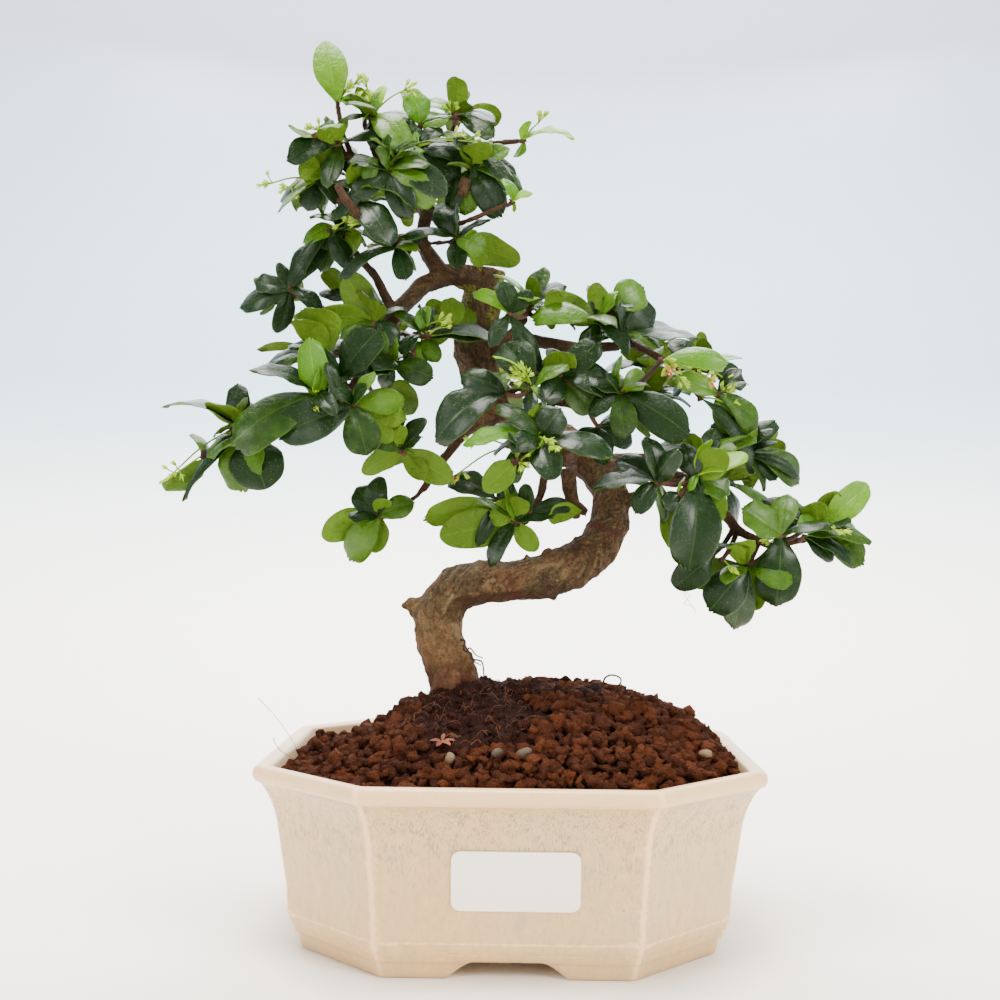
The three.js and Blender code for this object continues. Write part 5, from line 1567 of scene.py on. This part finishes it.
def make_peat(height):
    """Fine peat of the old root ball, running down in front of the trunk, with roots in it."""
    rng = random.Random(12)
    shape = Shape()
    lay_peat(shape, height)
    scatter_crumbs(shape, height, rng)
    scatter_rootlets(shape, height, rng)
    shape.piece("peat", ["peat", "root", "hair"], "soil")


# Loose fibres: the pixels and depths of each one's route, and its radius
FIBRES = [
    ([(593, 704, -20), (597, 696, -18), (602, 686, -17), (605, 678, -17), (611, 675, -17),
      (619, 677, -17), (621, 682, -17), (616, 689, -18), (614, 698, -20)], 0.46),
    ([(460, 640, -6), (465, 641, -6), (464, 650, -6), (471, 653, -6), (473, 659, -6),
      (482, 662, -6), (484, 676, -7)], 0.52),
    ([(462, 645, -6), (468, 650, -6), (474, 661, -6), (481, 665, -6)], 0.44),
    ([(466, 652, -6), (470, 648, -6), (476, 655, -6), (483, 658, -6)], 0.38),
    ([(258, 698, -30), (268, 708, -30), (280, 722, -28), (293, 742, -26), (298, 752, -27)], 0.13),
    ([(273, 738, -30), (280, 750, -32), (296, 760, -34)], 0.15),
    ([(712, 556, -20), (690, 556, -21), (677, 570, -22), (682, 590, -22), (696, 612, -22)], 0.14),
    ([(682, 590, -22), (690, 596, -22), (684, 603, -23), (691, 606, -23)], 0.12),
]
# Pebbles: place, size and lightness
PEBBLES = [((-4.1, -67), 2.4, 0.05), ((4.9, -67.5), 2.9, 0.35), ((-19.8, -67), 2.5, 0.75),
           ((68.4, -46), 2.5, 1.0), ((38, 26), 2.2, 0.4), ((-44, 30), 2.4, 0.7)]


def make_small_things(height):
    """Pebbles, loose fibres and the fallen flower."""
    rng = random.Random(5)
    pebbles = Shape()
    for (x, y), size, tone in PEBBLES:
        centre = (x, y, height(x, y) + 1.0)
        pebbles.add(*lump(centre, (size, size * 0.8, size * 0.62), rng.random(), 2, 0.35), 0,
                    tone=tone)
    pebbles.piece("pebbles", ["pebble"], "soil")
    fibres = Shape()
    for route, radius in FIBRES:
        fibres.twig([seen_at(*place) for place in route], radius, radius * 0.6, 22, 0,
                    rng.random(), 6)
    fibres.piece("loose_fibres", ["root"], "soil")
    low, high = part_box("fallen_flower")
    centre = (millimetres(low) + millimetres(high)) / 2
    flower = Shape()
    grow_flower(flower, centre - (0, 0, 0.4), np.array([0.1, -0.45, 1]), 4.3, 0, 0, rng)
    flower.piece("fallen_star_flower", ["petal"], "petal", "fallen_flower")


# Stage, in metres

FLAT_REACH = 0.9
CURVE_REACH = 0.8
WALL_TOP = (1.72, 1.5)
FLOOR_SIDES = 72
# Area lights: name, place, what it points at, size, power and colour
LIGHTS = [
    ("top_light", (-0.1, -0.15, 1.3), (0, 0, 0.15), 0.55, 33, (1, 0.97, 0.92)),
    ("left_light", (-0.85, -1.0, 0.85), (0, 0, 0.16), 0.5, 13, (1, 0.96, 0.90)),
    ("right_light", (0.95, -0.95, 0.8), (0, 0, 0.15), 0.5, 24, (1, 0.96, 0.90)),
    ("wall_light", (0, 0.75, 1.7), (0, 1.75, 0.5), 1.1, 80, (0.93, 0.97, 1)),
    ("floor_light", (0, 0.95, 0.95), (0, 0.95, 0), 1.2, 32, (1, 0.99, 0.97)),
]


def make_floor():
    """Pale floor that curves up into a surround painted darker and bluer higher up, a painted shade
    on the surround.
    """
    profile = [(0.001, 0), (0.35, 0), (FLAT_REACH, 0)]
    profile += [(FLAT_REACH + CURVE_REACH * math.sin(a), CURVE_REACH - CURVE_REACH * math.cos(a))
                for a in np.linspace(0.1, 1.55, 12)]
    profile.append(WALL_TOP)
    points = []
    for radius, z in profile:
        for k in range(FLOOR_SIDES):
            angle = 2 * math.pi * k / FLOOR_SIDES
            points.append((radius * math.cos(angle), radius * math.sin(angle), z))
    faces = ring_faces(len(profile), FLOOR_SIDES) + [list(range(FLOOR_SIDES))]
    mesh = bpy.data.meshes.new("floor")
    mesh.from_pydata(points, [], faces)
    mesh.polygons.foreach_set("use_smooth", [True] * len(faces))
    look = Look("floor")
    height = look.level()
    # Painted shade: the surround darkens and turns bluer with height
    colour = look.blend(height.between(10, 420), (0.94, 0.89, 0.82), (0.36, 0.47, 0.54))
    colour = look.blend(height.between(420, 1000), colour, (0.38, 0.40, 0.46))
    mesh.materials.append(look.surface(Base_Color=colour, Roughness=0.9))
    in_scene("floor", mesh)


def make_lights():
    world = bpy.data.worlds.new("studio")
    world.use_nodes = True
    sky = world.node_tree.nodes["Background"]
    sky.inputs[0].default_value = (1.0, 0.99, 0.97, 1)
    sky.inputs[1].default_value = 0.4
    bpy.context.scene.world = world
    for name, place, aim, size, power, colour in LIGHTS:
        data = bpy.data.lights.new(name, "AREA")
        data.shape, data.size, data.energy, data.color = "SQUARE", size, power, colour
        light = in_scene(name, data)
        light.location = place
        turn = Vector(aim) - light.location
        light.rotation_euler = turn.to_track_quat("-Z", "Y").to_euler()


make_camera()
make_floor()
make_lights()
wood = make_wood()
for node in sorted(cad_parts):
    if node.startswith(("leaves_", "shoot_")):
        dress_spray(node, wood)
fill_in(wood)
make_pot()
top = soil_top()
make_bed()
scatter_grains(top)
make_peat(top)
make_small_things(top)
for node, look in (("label", "paper"), ("drain_screen_left", "mesh"),
                   ("drain_screen_right", "mesh")):
    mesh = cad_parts[node].data
    mesh.materials.clear()
    mesh.materials.append(LOOKS[look])
